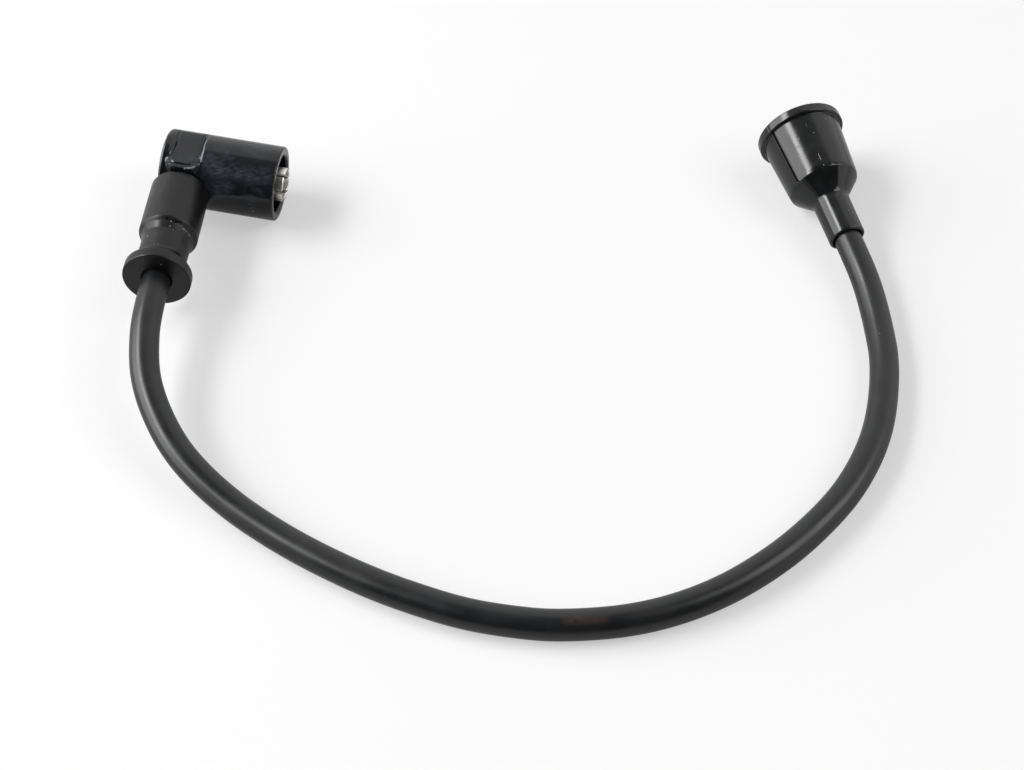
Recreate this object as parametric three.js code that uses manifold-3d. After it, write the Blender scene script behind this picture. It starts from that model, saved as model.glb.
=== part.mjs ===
// Spark plug wire: a hard right-angle connector with its rubber boot, a free length of 7 mm
// cable and a straight rubber boot with a wide cup. Millimetres, +Z up, lying on z = 0.
import * as THREE from 'three';
import { mergeVertices } from 'three/addons/utils/BufferGeometryUtils.js';
import Module from 'manifold-3d';

const wasm = await Module();
wasm.setup();

// Shared sizes
const fitGap = 0.3; // clearance between pieces that touch
const ringSegments = 48;
const innerSegments = 32;
const wireSides = 8;

// Cable
const cableRadius = 3.5;
const cableSides = 10;
const cableStepLength = 14; // two diameters
const cableRoute = [
  [-82.2, -6.4, 12.4], [-82.8, -17.0, 12.9], [-83.5, -28.4, 13.4], [-84.1, -36.6, 13.6],
  [-84.2, -45.5, 12.9], [-82.8, -56.4, 11.5], [-79.2, -66.2, 9.7], [-74.1, -74.8, 7.8],
  [-67.7, -82.0, 6.0], [-60.5, -88.2, 4.6], [-52.7, -93.9, 3.8], [-44.6, -99.2, 3.6],
  [-32.4, -106.1, 3.6], [-20.0, -111.7, 3.6], [-7.5, -116.0, 3.6], [5.1, -118.4, 3.6],
  [13.7, -118.9, 3.6], [26.5, -117.9, 3.6], [39.2, -114.6, 3.6], [51.5, -108.7, 3.6],
  [63.2, -100.4, 3.6], [74.2, -89.7, 3.6], [80.8, -81.0, 3.6], [86.2, -70.9, 3.6],
  [89.9, -59.7, 3.6], [92.2, -45.7, 3.65], [92.2, -35.4, 3.9], [91.1, -23.5, 4.7],
  [90.0, -17.5, 5.3], [88.8, -12.9, 5.9], [87.5, -8.2, 6.6], [84.8, 1.3, 8.0],
  [81.9, 11.7, 9.5],
];

// Place of the right-angle connector
const elbowX = -81.1;
const elbowY = 11.9;
const mouthHeading = -8.7; // degrees, where the mouth looks from above
const mouthDroop = 4.4; // degrees, how far the mouth looks down
const elbowRoll = -3.2; // degrees, lifts the cable side
const elbowAngle = 85; // degrees between the mouth's axis and the arm's

// Hard housing of the right-angle connector
const mouthRadius = 9.6;
const mouthReach = 24.7; // from the arm's axis to the mouth
const backReach = 5.0; // from the arm's axis to the closed back end
const mouthBoreRadius = 7.4;
const mouthEdge = 0.5; // rounding of the mouth's lip
const backEdge = 0.9; // rounding of the back end
const partitionFront = 6.5; // inner wall between the mouth and the corner chamber
const partitionBack = 3.5;
const chamberRadius = 4.4;
const armRadius = 6.0;
const armEnd = 24.8;
const armChamfer = 0.4;
const shelfStation = 15.4; // where the wide arm bore starts
const padHeight = 8.2; // flat pad over the corner, above the mouth's axis
const padBack = -3.5;
const padFront = 5.1;
const padNear = -8.3;
const padCorner = 2.4;
const cornerCutNear = -8.6;

// Closing cap in the back end
const rearCapRadius = 6.2;
const rearCapThickness = 1.3;
const rearCapChamfer = 0.3;

// Slotted contact
const stemRadius = 2.0;
const stemTail = 2.6; // how far the stem runs past the arm's axis
const stemChamfer = 0.4;
const collarRadius = 5.0;
const collarThickness = 1.2;
const socketRadius = 4.4;
const socketBoreRadius = 3.45;
const socketFloor = 11.5;
const socketOverhang = 1.3; // the prongs stand this far out of the mouth
const prongChamfer = 0.3;
const slotCount = 6;
const slotWidth = 0.9;
const slotStart = 13.5;
const slotTurn = 17; // degrees, turns the slots round the axis

// Spring ring round the prongs
const ringWireRadius = 0.45;
const ringStation = 18.5;
const ringGapAngle = 40; // degrees left open
const ringSteps = 28;

// Contact spring, resistor and its caps, along the arm's axis
const springMeanRadius = 2.1;
const springWireRadius = 0.35;
const springTurns = 2.5;
const springLength = 2.3;
const springSteps = 36;
const springSides = 6;
const capRadius = 2.5;
const capWall = 0.3;
const capFloor = 0.4;
const capLength = 2.4;
const capChamfer = 0.2;
const resistorLength = 6.8;

// Crimped terminals
const crimpWall = 0.45;
const crimpLength = 7.6;
const crimpSeamWidth = 1.9;
const crimpWeb = 0.5;
const buttonThickness = 0.8;
const neckRadius = 1.5;
const neckLength = 1.0;
const neckSegments = 24;
const coreRadius = 0.5;
const coreCavity = 2.0; // room in front of the cable's end for the folded core
const coreTailLength = 5.4;
const coreTurnOut = 90; // degrees, side on which the core is folded back
const coreClearance = 0.35; // room round the folded core
const coreRise = 0.9; // where the core starts to turn out
const coreRound = 1.1; // how far before the fold it turns
const coreSettle = 0.15;
const coreLead = 0.6; // stations where it comes to lie along the cable
const coreLay = 1.6;
const coreSteps = 24;

// Rubber boot of the right-angle connector, stations along the arm's axis
const sleeveTop = 8.7;
const sleeveRadius = 7.3;
const sleeveEdge = 0.8;
const stepStation = 25.3;
const stepDrop = 0.8;
const stepLength = 0.9;
const waistStart = 28;
const waistRadius = 5.95;
const waistTaper = 0.05;
const waistEnd = 34.6;
const flangeRadius = 8.35;
const flangeThickness = 2.8;
const flangeFace = 40.4;
const flangeEdge = 0.4;
const flangeSkirt = 0.6; // how far below the flange's edge its back starts to curve in
const skirtStart = 270; // degrees of the back's curve
const skirtEnd = 305;
const cableBoreGap = 0.35;
const funnelDepth = 0.9;
const funnelWidth = 0.8;

// Straight boot, stations from the end of its neck
const neckEndX = 87.5;
const neckEndY = -8.2;
const bootHeading = 105.7; // degrees, where the cup looks from above
const bootNeckRadius = 4.6;
const bootNeckEdge = 0.5;
const bootNeckLength = 11.8;
const bootNeckTaper = 0.1;
const bootNeckLead = 0.1; // how much wider the bore is at the neck's end
const coneStart = 12.7;
const coneStartRadius = 5.3;
const shoulderStation = 16.8;
const shoulderRadius = 8.95;
const bodyStart = 17.7;
const bodyStartRadius = 9.15;
const bodyEndRadius = 10.25;
const rimStation = 32.5;
const rimRadius = 11.3;
const rimWidth = 3.0;
const rimEdge = 0.35;
const cupStation = 19.0;
const cupRadius = 7.7;
const cupMouthRadius = 7.9;
const cupChamfer = 0.4;
const pocketStation = 14.8;
const pocketRadius = 5.3;

// Terminal in the straight boot
const bootCrimpStation = 15.3;
const snapBoreRadius = 2.5;
const snapWall = 0.5;
const snapLength = 4.1;
const snapSlotCount = 4;
const snapSlotWidth = 0.7;
const clipWireRadius = 0.35;
const clipGapAngle = 50; // degrees left open
const clipShare = 0.6; // share of the snap socket's length where the clip sits
const clipSteps = 24;

// Sizes worked out from the values above
const backStation = -backReach;
const seatStation = backStation + rearCapThickness + fitGap;
const bootBoreRadius = armRadius + fitGap;
const cableBoreRadius = cableRadius + cableBoreGap;
const springStart = stemRadius + fitGap + springWireRadius;
const frontCapStation = springStart + springLength + springWireRadius + fitGap;
const resistorStart = frontCapStation + capFloor + fitGap;
const resistorEnd = resistorStart + resistorLength;
const rearCapEndStation = resistorEnd + fitGap + capFloor;
const buttonStation = rearCapEndStation + fitGap;
const narrowBoreRadius = capRadius + fitGap;
const crimpBoreRadius = cableRadius + fitGap;
const crimpRadius = crimpBoreRadius + crimpWall;
const coreFoldRadius = cableRadius + coreClearance + coreRadius;
const wideBoreRadius = coreFoldRadius + coreRadius + coreClearance;
const restRise = rimRadius - bodyStartRadius;
const restRun = rimStation + rimEdge - bodyStart;
const bootTilt = THREE.MathUtils.radToDeg(Math.atan2(restRise, restRun));

// Materials
const thermoset = new THREE.MeshStandardMaterial({ color: 0x1b1c1e, roughness: 0.22, metalness: 0 });
const rubber = new THREE.MeshStandardMaterial({ color: 0x2b2b2d, roughness: 0.6, metalness: 0 });
const jacket = new THREE.MeshStandardMaterial({ color: 0x38383b, roughness: 0.5, metalness: 0 });
const nickel = new THREE.MeshStandardMaterial({ color: 0xc9c4ba, roughness: 0.3, metalness: 1 });
const brass = new THREE.MeshStandardMaterial({ color: 0xc2a25a, roughness: 0.35, metalness: 1 });
const steel = new THREE.MeshStandardMaterial({ color: 0xb4b6b8, roughness: 0.3, metalness: 1 });
const ceramic = new THREE.MeshStandardMaterial({ color: 0xe4dfd2, roughness: 0.5, metalness: 0 });
const conductor = new THREE.MeshStandardMaterial({ color: 0x8d7a63, roughness: 0.6, metalness: 0.4 });

// Indexed geometry with shared vertices and no collapsed triangles.
function weld(geometry) {
  const bare = geometry.clone();
  bare.deleteAttribute('normal');
  bare.deleteAttribute('uv');
  const merged = mergeVertices(bare, 1e-4);
  const index = merged.getIndex().array;
  const kept = [];
  for (let i = 0; i < index.length; i += 3) {
    const [a, b, c] = [index[i], index[i + 1], index[i + 2]];
    if (a !== b && b !== c && c !== a) kept.push(a, b, c);
  }
  merged.setIndex(kept);
  return merged;
}

// The same closed form as a solid that can be joined and cut.
function solid(geometry) {
  const merged = weld(geometry);
  const vertProperties = new Float32Array(merged.getAttribute('position').array);
  const triVerts = new Uint32Array(merged.getIndex().array);
  return new wasm.Manifold(new wasm.Mesh({ numProp: 3, vertProperties, triVerts }));
}

// A joined or cut solid back as geometry.
function surface(body) {
  const mesh = body.getMesh();
  const geometry = new THREE.BufferGeometry();
  geometry.setAttribute('position', new THREE.BufferAttribute(mesh.vertProperties, 3));
  geometry.setIndex(new THREE.BufferAttribute(mesh.triVerts, 1));
  return geometry;
}

// A named mesh with flat normals.
function piece(name, geometry, material) {
  geometry.computeVertexNormals();
  const mesh = new THREE.Mesh(geometry, material);
  mesh.name = name;
  return mesh;
}

// A form turned round +X from [station, radius] pairs; outer walls run forward, inner walls back.
function turned(profile, segments = ringSegments) {
  const points = profile.map(([station, radius]) => new THREE.Vector2(radius, station));
  const geometry = new THREE.LatheGeometry(points, segments);
  geometry.rotateZ(-Math.PI / 2);
  return weld(geometry);
}

// A solid bar with both ends chamfered.
function bar(start, end, radius, chamfer, segments = innerSegments) {
  return turned([
    [start, 0], [start, radius - chamfer], [start + chamfer, radius],
    [end - chamfer, radius], [end, radius - chamfer], [end, 0],
  ], segments);
}

// A plain cutter from one station to another.
function cutter(start, end, radius, segments = innerSegments) {
  return solid(turned([[start, 0], [start, radius], [end, radius], [end, 0]], segments));
}

// Points of a quarter round, from one angle to another in degrees.
function round(station, radius, size, from, to, steps = 3) {
  const points = [];
  for (let i = 0; i <= steps; i += 1) {
    const angle = THREE.MathUtils.degToRad(from + ((to - from) * i) / steps);
    points.push([station + size * Math.cos(angle), radius + size * Math.sin(angle)]);
  }
  return points;
}

// A round wire along a curve.
function wire(curve, radius, steps, sides = wireSides) {
  const section = new THREE.Shape();
  section.absarc(0, 0, radius, 0, Math.PI * 2, false);
  const options = { extrudePath: curve, steps, curveSegments: sides / 2, bevelEnabled: false };
  return weld(new THREE.ExtrudeGeometry(section, options));
}

// An open ring round +X, for a spring ring or clip.
class OpenRing extends THREE.Curve {
  constructor(station, radius, gapAngle) {
    super();
    this.station = station;
    this.radius = radius;
    this.gap = THREE.MathUtils.degToRad(gapAngle);
  }

  getPoint(t, target = new THREE.Vector3()) {
    const angle = this.gap / 2 + t * (2 * Math.PI - this.gap);
    return target.set(this.station, this.radius * Math.cos(angle), this.radius * Math.sin(angle));
  }
}

// A helix round +X, for a coil spring.
class Helix extends THREE.Curve {
  constructor(start, length, radius, turns) {
    super();
    this.start = start;
    this.length = length;
    this.radius = radius;
    this.turns = turns;
  }

  getPoint(t, target = new THREE.Vector3()) {
    const angle = 2 * Math.PI * this.turns * t;
    const station = this.start + this.length * t;
    return target.set(station, this.radius * Math.cos(angle), this.radius * Math.sin(angle));
  }
}

// Cuts equal slots from the free end of a split socket.
function slotted(body, count, width, start, end, reach, turn) {
  let result = body;
  for (let i = 0; i < count / 2; i += 1) {
    const slot = new THREE.BoxGeometry(end - start, width, 2 * reach);
    slot.translate((start + end) / 2, 0, 0);
    slot.rotateX(THREE.MathUtils.degToRad(turn + (360 / count) * i));
    result = result.subtract(solid(slot));
  }
  return result;
}

// Outline of the flat pad, rounded on the side of the boot.
function padOutline(far) {
  const shape = new THREE.Shape();
  shape.moveTo(padBack, far);
  shape.lineTo(padBack, padNear + padCorner);
  shape.absarc(padBack + padCorner, padNear + padCorner, padCorner, Math.PI, 1.5 * Math.PI, false);
  shape.absarc(padFront - padCorner, padNear + padCorner, padCorner, 1.5 * Math.PI, 2 * Math.PI, false);
  shape.lineTo(padFront, far);
  shape.closePath();
  return shape;
}

// A block with the pad's outline between two heights.
function padBlock(far, bottom, top) {
  const options = { depth: top - bottom, curveSegments: 6, bevelEnabled: false };
  const geometry = new THREE.ExtrudeGeometry(padOutline(far), options);
  geometry.translate(0, 0, bottom);
  return solid(geometry);
}

// Turns a form made along +X into the arm's direction.
function alongArm(geometry) {
  geometry.rotateZ(-THREE.MathUtils.degToRad(elbowAngle));
  return geometry;
}

// Outside of the housing: mouth barrel, arm and pad.
function housingOutside() {
  const barrel = solid(turned([
    [backStation, 0],
    ...round(backStation + backEdge, mouthRadius - backEdge, backEdge, 180, 90),
    ...round(mouthReach - mouthEdge, mouthRadius - mouthEdge, mouthEdge, 90, 0),
    [mouthReach, 0],
  ]));
  const arm = solid(alongArm(turned([
    [0, 0], [0, armRadius], [armEnd - armChamfer, armRadius], [armEnd, armRadius - armChamfer], [armEnd, 0],
  ])));
  const behind = new THREE.BoxGeometry(2 * mouthRadius, 4 * mouthRadius, 4 * mouthRadius);
  behind.translate(backStation - mouthRadius, cornerCutNear + 2 * mouthRadius, 0);
  const padFar = Math.sqrt(mouthRadius ** 2 - padHeight ** 2);
  return arm.subtract(solid(behind))
    .add(barrel)
    .add(padBlock(padFar, 0, padHeight))
    .subtract(padBlock(2 * mouthRadius, padHeight, 2 * mouthRadius));
}

// Hard moulded housing, open at the mouth, the arm's end and the back.
function elbowHousing() {
  const lip = mouthEdge;
  const mouthBore = solid(turned([
    [partitionFront, 0], [partitionFront, mouthBoreRadius], [mouthReach - lip, mouthBoreRadius],
    [mouthReach + lip, mouthBoreRadius + 2 * lip], [mouthReach + lip, 0],
  ]));
  const chamber = cutter(seatStation - fitGap, partitionBack, chamberRadius);
  const seat = cutter(backStation - 1, seatStation, rearCapRadius + fitGap, ringSegments);
  const stemHole = cutter(partitionBack - 1, partitionFront + 1, stemRadius + fitGap);
  const narrowBore = solid(alongArm(turned([
    [0, 0], [0, narrowBoreRadius], [shelfStation + 1, narrowBoreRadius], [shelfStation + 1, 0],
  ], innerSegments)));
  const wideBore = solid(alongArm(turned([
    [shelfStation, 0], [shelfStation, wideBoreRadius], [armEnd + 1, wideBoreRadius], [armEnd + 1, 0],
  ], innerSegments)));
  const body = housingOutside()
    .subtract(mouthBore)
    .subtract(chamber)
    .subtract(seat)
    .subtract(stemHole)
    .subtract(narrowBore)
    .subtract(wideBore);
  return piece('elbow_housing', surface(body), thermoset);
}

// Disc that closes the corner chamber from behind.
function rearCap() {
  const geometry = bar(backStation, backStation + rearCapThickness, rearCapRadius, rearCapChamfer, ringSegments);
  return piece('rear_cap', geometry, thermoset);
}

// Slotted contact with its collar and the stem that reaches the corner chamber.
function contactSocket() {
  const front = mouthReach + socketOverhang;
  const collarStart = partitionFront + fitGap;
  const collarEnd = collarStart + collarThickness;
  const body = solid(turned([
    [-stemTail, 0], [-stemTail, stemRadius - stemChamfer], [-stemTail + stemChamfer, stemRadius],
    [collarStart, stemRadius], [collarStart, collarRadius], [collarEnd, collarRadius],
    [collarEnd, socketRadius], [front - prongChamfer, socketRadius], [front, socketRadius - prongChamfer],
    [front, socketBoreRadius + prongChamfer], [front - prongChamfer, socketBoreRadius],
    [socketFloor, socketBoreRadius], [socketFloor, 0],
  ], ringSegments));
  const split = slotted(body, slotCount, slotWidth, slotStart, front + 1, socketRadius + 1, slotTurn);
  return piece('contact_socket', surface(split), nickel);
}

// Wire ring that squeezes the prongs together.
function socketRing() {
  const radius = socketRadius + fitGap + ringWireRadius;
  const curve = new OpenRing(ringStation, radius, ringGapAngle);
  return piece('socket_ring', wire(curve, ringWireRadius, ringSteps), steel);
}

// Spring between the contact's stem and the resistor.
function contactSpring() {
  const curve = new Helix(springStart, springLength, springMeanRadius, springTurns);
  return piece('contact_spring', wire(curve, springWireRadius, springSteps, springSides), steel);
}

// Metal cup over one end of the resistor; direction 1 opens forward, -1 opens back.
function resistorCap(name, endStation, direction) {
  const inner = capRadius - capWall;
  const profile = [
    [0, 0], [0, capRadius - capChamfer], [capChamfer, capRadius], [capLength, capRadius],
    [capLength, inner], [capFloor, inner], [capFloor, 0],
  ];
  const geometry = turned(profile, innerSegments);
  if (direction < 0) geometry.rotateY(Math.PI);
  geometry.translate(endStation, 0, 0);
  return piece(name, geometry, brass);
}

// Ceramic rod between the two caps.
function resistorRod() {
  const radius = capRadius - capWall - fitGap;
  return piece('resistor_rod', bar(resistorStart, resistorEnd, radius, capChamfer), ceramic);
}

// Crimp barrel with a seam, closed by a web at its front; it wraps the cable's end.
function crimpBarrel(webStation, seamTurn) {
  const end = webStation + crimpWeb + crimpLength;
  const barrel = solid(turned([
    [webStation, 0], [webStation, crimpRadius], [end, crimpRadius],
    [end, crimpBoreRadius], [webStation + crimpWeb, crimpBoreRadius], [webStation + crimpWeb, 0],
  ], innerSegments));
  const seam = new THREE.BoxGeometry(crimpLength + 1, crimpSeamWidth, 2 * crimpRadius);
  seam.translate(webStation + crimpWeb + (crimpLength + 1) / 2, 0, crimpRadius);
  seam.rotateX(THREE.MathUtils.degToRad(seamTurn));
  return barrel.subtract(solid(seam));
}

// Terminal on the cable's end in the arm, with a button that meets the resistor.
function elbowCrimpTerminal() {
  const web = buttonStation + buttonThickness + neckLength;
  const button = solid(bar(buttonStation, buttonStation + buttonThickness, capRadius, capChamfer));
  const neck = cutter(buttonStation + buttonThickness / 2, web + crimpWeb / 2, neckRadius, neckSegments);
  const body = crimpBarrel(web, coreTurnOut).add(neck).add(button);
  return piece('elbow_crimp_terminal', surface(body), brass);
}

// Stripped core, folded back over the cable's end inside the crimp's seam.
function coreTail(name, cableEnd) {
  const middle = cableEnd - coreCavity / 2;
  const side = THREE.MathUtils.degToRad(coreTurnOut);
  const at = (station, radius) => new THREE.Vector3(station, -radius * Math.sin(side), radius * Math.cos(side));
  const curve = new THREE.CatmullRomCurve3([
    at(cableEnd - fitGap, 0), at(middle, coreRise), at(middle, coreFoldRadius - coreRound),
    at(middle + coreLead, coreFoldRadius - coreSettle), at(middle + coreLay, coreFoldRadius),
    at(middle + coreTailLength, coreFoldRadius),
  ], false, 'centripetal');
  return piece(name, wire(curve, coreRadius, coreSteps), conductor);
}

// The mouth barrel grown by the clearance, in the arm's frame: the sleeve's edge is shaped to it.
function saddleCut() {
  const barrel = turned([
    [backStation - fitGap, 0], [backStation - fitGap, mouthRadius + fitGap],
    [mouthReach, mouthRadius + fitGap], [mouthReach, 0],
  ]);
  barrel.rotateZ(THREE.MathUtils.degToRad(elbowAngle));
  return solid(barrel);
}

// Rubber boot over the arm: sleeve, step, waist and flange.
function elbowBoot() {
  const flangeBack = flangeFace - flangeThickness;
  const skirtRadius = flangeRadius - flangeSkirt;
  const geometry = turned([
    [sleeveTop, bootBoreRadius],
    ...round(sleeveTop + sleeveEdge, sleeveRadius - sleeveEdge, sleeveEdge, 180, 90),
    [stepStation, sleeveRadius],
    [stepStation + stepLength, sleeveRadius - stepDrop],
    [waistStart, waistRadius + waistTaper],
    [waistEnd, waistRadius],
    ...round(waistEnd, skirtRadius, skirtRadius - waistRadius, skirtStart, skirtEnd),
    [flangeBack, flangeRadius - flangeEdge],
    [flangeBack + flangeEdge, flangeRadius],
    ...round(flangeFace - flangeEdge, flangeRadius - flangeEdge, flangeEdge, 90, 0),
    [flangeFace, cableBoreRadius + funnelWidth],
    [flangeFace - funnelDepth, cableBoreRadius],
    [armEnd + fitGap, cableBoreRadius],
    [armEnd + fitGap, bootBoreRadius],
    [sleeveTop, bootBoreRadius],
  ]);
  return piece('elbow_boot', surface(solid(geometry).subtract(saddleCut())), rubber);
}

// Straight rubber boot: neck, cone, body and rim, hollow all the way.
function towerBoot() {
  const mouth = rimStation + rimWidth;
  const geometry = turned([
    [0, cableBoreRadius + bootNeckLead],
    ...round(bootNeckEdge, bootNeckRadius - bootNeckEdge, bootNeckEdge, 180, 90),
    [bootNeckLength, bootNeckRadius + bootNeckTaper],
    [coneStart, coneStartRadius],
    [shoulderStation, shoulderRadius],
    [bodyStart, bodyStartRadius],
    [rimStation - rimEdge, bodyEndRadius],
    [rimStation, rimRadius - rimEdge],
    [rimStation + rimEdge, rimRadius],
    ...round(mouth - rimEdge, rimRadius - rimEdge, rimEdge, 90, 0),
    [mouth, cupMouthRadius + cupChamfer],
    [mouth - cupChamfer, cupMouthRadius],
    [cupStation, cupRadius],
    [cupStation, pocketRadius],
    [pocketStation, pocketRadius],
    [pocketStation, cableBoreRadius],
    [bootNeckEdge, cableBoreRadius],
    [0, cableBoreRadius + bootNeckLead],
  ]);
  return piece('tower_boot', geometry, rubber);
}

// Folded terminal in the straight boot: crimp barrel, neck and a split snap socket.
function towerTerminal() {
  const web = bootCrimpStation + crimpLength;
  const socketStart = web + crimpWeb + neckLength;
  const front = socketStart + snapLength;
  const barrel = crimpBarrel(0, coreTurnOut);
  const turnedBarrel = barrel.rotate([0, 180, 0]).translate([web + crimpWeb, 0, 0]);
  const neck = cutter(web + crimpWeb / 2, socketStart + snapWall / 2, neckRadius, neckSegments);
  const snapRadius = snapBoreRadius + snapWall;
  const socket = solid(turned([
    [socketStart, 0], [socketStart, snapRadius], [front, snapRadius],
    [front, snapBoreRadius], [socketStart + snapWall, snapBoreRadius], [socketStart + snapWall, 0],
  ], innerSegments));
  const slotFrom = socketStart + 2 * snapWall;
  const split = slotted(socket, snapSlotCount, snapSlotWidth, slotFrom, front + 1, snapRadius + 1, 45);
  return piece('tower_terminal', surface(turnedBarrel.add(neck).add(split)), brass);
}

// Wire clip round the snap socket.
function terminalClip() {
  const station = bootCrimpStation + crimpLength + crimpWeb + neckLength + clipShare * snapLength;
  const radius = snapBoreRadius + snapWall + fitGap + clipWireRadius;
  const curve = new OpenRing(station, radius, clipGapAngle);
  return piece('terminal_clip', wire(curve, clipWireRadius, clipSteps), steel);
}

// The cable, from the crimp in the arm to the crimp in the straight boot.
function cable() {
  const points = cableRoute.map(([x, y, z]) => new THREE.Vector3(x, y, z));
  const curve = new THREE.CatmullRomCurve3(points, false, 'centripetal');
  const steps = Math.round(curve.getLength() / cableStepLength);
  return piece('cable', wire(curve, cableRadius, steps, cableSides), jacket);
}

// A group whose +X axis has the given heading and droop, rolled about itself.
function turnedGroup(heading, droop, roll) {
  const group = new THREE.Group();
  const [x, y, z] = [roll, droop, heading].map(THREE.MathUtils.degToRad);
  group.rotation.set(x, y, z, 'ZYX');
  return group;
}

// Everything on the arm's axis.
function armGroup() {
  const group = new THREE.Group();
  const terminalWeb = buttonStation + buttonThickness + neckLength + crimpWeb;
  group.rotation.z = -THREE.MathUtils.degToRad(elbowAngle);
  group.add(contactSpring());
  group.add(resistorCap('resistor_front_cap', frontCapStation, 1));
  group.add(resistorRod());
  group.add(resistorCap('resistor_rear_cap', rearCapEndStation, -1));
  group.add(elbowCrimpTerminal());
  group.add(coreTail('elbow_core_tail', terminalWeb + coreCavity));
  group.add(elbowBoot());
  return group;
}

// The right-angle connector; its mouth's lower lip touches the floor.
function elbowGroup() {
  const droop = THREE.MathUtils.degToRad(mouthDroop);
  const group = turnedGroup(mouthHeading, mouthDroop, elbowRoll);
  const height = mouthRadius * Math.cos(droop) + mouthReach * Math.sin(droop);
  group.position.set(elbowX, elbowY, height);
  group.add(elbowHousing());
  group.add(rearCap());
  group.add(contactSocket());
  group.add(socketRing());
  group.add(armGroup());
  return group;
}

// The straight boot; it lies on the rim's back edge and on the shoulder.
function towerGroup() {
  const group = turnedGroup(bootHeading, -bootTilt, 0);
  const tilt = THREE.MathUtils.degToRad(bootTilt);
  const height = bodyStartRadius * Math.cos(tilt) - bodyStart * Math.sin(tilt);
  const cableEnd = bootCrimpStation + crimpLength - coreCavity;
  const tail = coreTail('tower_core_tail', 0);
  group.position.set(neckEndX, neckEndY, height);
  group.add(towerBoot());
  group.add(towerTerminal());
  group.add(terminalClip());
  tail.rotation.y = Math.PI;
  tail.position.x = cableEnd;
  group.add(tail);
  return group;
}

const sparkPlugWire = new THREE.Group();
sparkPlugWire.add(elbowGroup());
sparkPlugWire.add(cable());
sparkPlugWire.add(towerGroup());

export default sparkPlugWire;
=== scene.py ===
"""Looks of a spark plug wire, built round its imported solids.

The lead lies on a pale floor: a hard right-angle connector with its rubber boot, a loop of 7 mm
cable and a straight rubber boot with a wide cup. Sizes are millimetres in the classes below and
become metres when a mesh is made. Each sub-assembly works in its own axes, with stations along
local x, and a Placement carries its points into the frame of the solids.
"""

import logging
import math
from collections.abc import Callable, Iterable
from dataclasses import dataclass, replace
from enum import Enum

import bpy
import numpy as np
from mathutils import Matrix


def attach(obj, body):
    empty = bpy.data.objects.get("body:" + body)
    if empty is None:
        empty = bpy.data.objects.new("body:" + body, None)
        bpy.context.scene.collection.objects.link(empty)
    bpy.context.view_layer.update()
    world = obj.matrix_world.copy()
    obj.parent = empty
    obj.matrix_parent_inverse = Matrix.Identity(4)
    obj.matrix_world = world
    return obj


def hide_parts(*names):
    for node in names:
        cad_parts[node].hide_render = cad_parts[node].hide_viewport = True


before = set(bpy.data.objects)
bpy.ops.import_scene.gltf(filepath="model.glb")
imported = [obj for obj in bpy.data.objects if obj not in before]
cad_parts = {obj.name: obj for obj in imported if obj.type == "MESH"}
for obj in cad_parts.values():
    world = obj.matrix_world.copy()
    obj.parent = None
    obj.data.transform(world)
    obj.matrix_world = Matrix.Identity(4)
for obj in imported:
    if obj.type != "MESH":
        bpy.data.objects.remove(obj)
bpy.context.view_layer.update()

LOG = logging.getLogger("spark_plug_wire")
MM = 0.001
SHARP_ANGLE = math.radians(38)
ROUTE = "route"
BUMP_STRENGTH = 0.5
WHITE = (1.0, 1.0, 1.0, 1.0)
# Colour of the dark marks: real nicks, and painted shade beside the pad's left wall and in a parting
# groove.
NICK_AND_SHADE = "#050506"
MARK_CORE = 0.4
MARK_ROUGHNESS = 0.75
DUST_ROUGHNESS = 0.65
HAZE_ROUGHNESS = 0.36

STREAKS = (0.7, 3.0, 0.15, 0.85)
STREAK_STRETCH = 0.4
RAGGED = (0.6, 2.0, 0.2, 0.55)
SPECK_WOBBLE = 2.4
SPECK_SWAY = 1.6
SPECK_CORE = 0.6
PAPER_ROUGHNESS = 0.95
UNLIT = (("Specular IOR Level", 0.0), ("Emission Color", WHITE))
LEAST_TURN = 0.02
CRISP, SLIGHT, SOFT, BROAD = 0.1, 0.2, 0.3, 0.4
ARC_STEP = 9.0
COARSE_STEP = 15.0
ROW_LENGTH = 0.5
SIDES = 128
WIRE_STEPS = 120
WIRE_SIDES = 16

Array = np.ndarray
Piece = bpy.types.Object
Socket = bpy.types.NodeSocket
Material = bpy.types.Material
Outputs = bpy.types.bpy_prop_collection
Corner = tuple[float, float, float]
Grids = tuple[Array, Array]
Field = Callable[[Array, Array], Array]
Bend = Callable[[Array, Array, Array], Grids]
Inputs = dict[str | int, object]


class Look(Enum):
    """The finishes, each with the record's material slot that it belongs to."""

    PLASTIC = ("plastic", "thermoset")
    MATT = ("matt", "rubber")
    SATIN = ("satin", "rubber")
    JACKET = ("jacket", "jacket")
    NICKEL = ("nickel", "contact_metal")
    BRASS = ("brass", "brass")
    STEEL = ("steel", "spring_steel")
    CERAMIC = ("ceramic", "ceramic")
    CORE = ("core", "core")


class Cut(Enum):
    """What a second solid does to the first one."""

    ADD = "UNION"
    TAKE = "DIFFERENCE"


Finishes = dict[Look, Material]


# Numbers and lines


def linear(code: str) -> tuple[float, float, float, float]:
    """Turns an sRGB hex colour such as "#1b1c1e" into linear light, with an alpha of one.

    Each channel c is c / 12.92 below 0.04045, and ((c + 0.055) / 1.055) to the power 2.4 above.
    """
    channels = np.array([int(code[i:i + 2], 16) for i in (1, 3, 5)]) / 255
    light = np.where(channels <= 0.04045, channels / 12.92, ((channels + 0.055) / 1.055) ** 2.4)
    return (*light.tolist(), 1.0)


def smooth_step(value: Array, start: float, end: float) -> Array:
    """Rises from 0 at start to 1 at end as 3 t^2 - 2 t^3."""
    t = np.clip((value - start) / (end - start), 0.0, 1.0)
    return t * t * (3.0 - 2.0 * t)


def smaller(a: Array, b: Array, width: float) -> Array:
    """Smaller of two fields, less h^2 * width / 4 where they cross, h = 1 - |a - b| / width."""
    near = np.clip(1.0 - np.abs(a - b) / width, 0.0, None)
    return np.minimum(a, b) - 0.25 * width * near * near


def larger(a: Array, b: Array, width: float) -> Array:
    """Larger of two fields, rounded where they cross, as smaller() is."""
    return -smaller(-a, -b, width)


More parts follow.
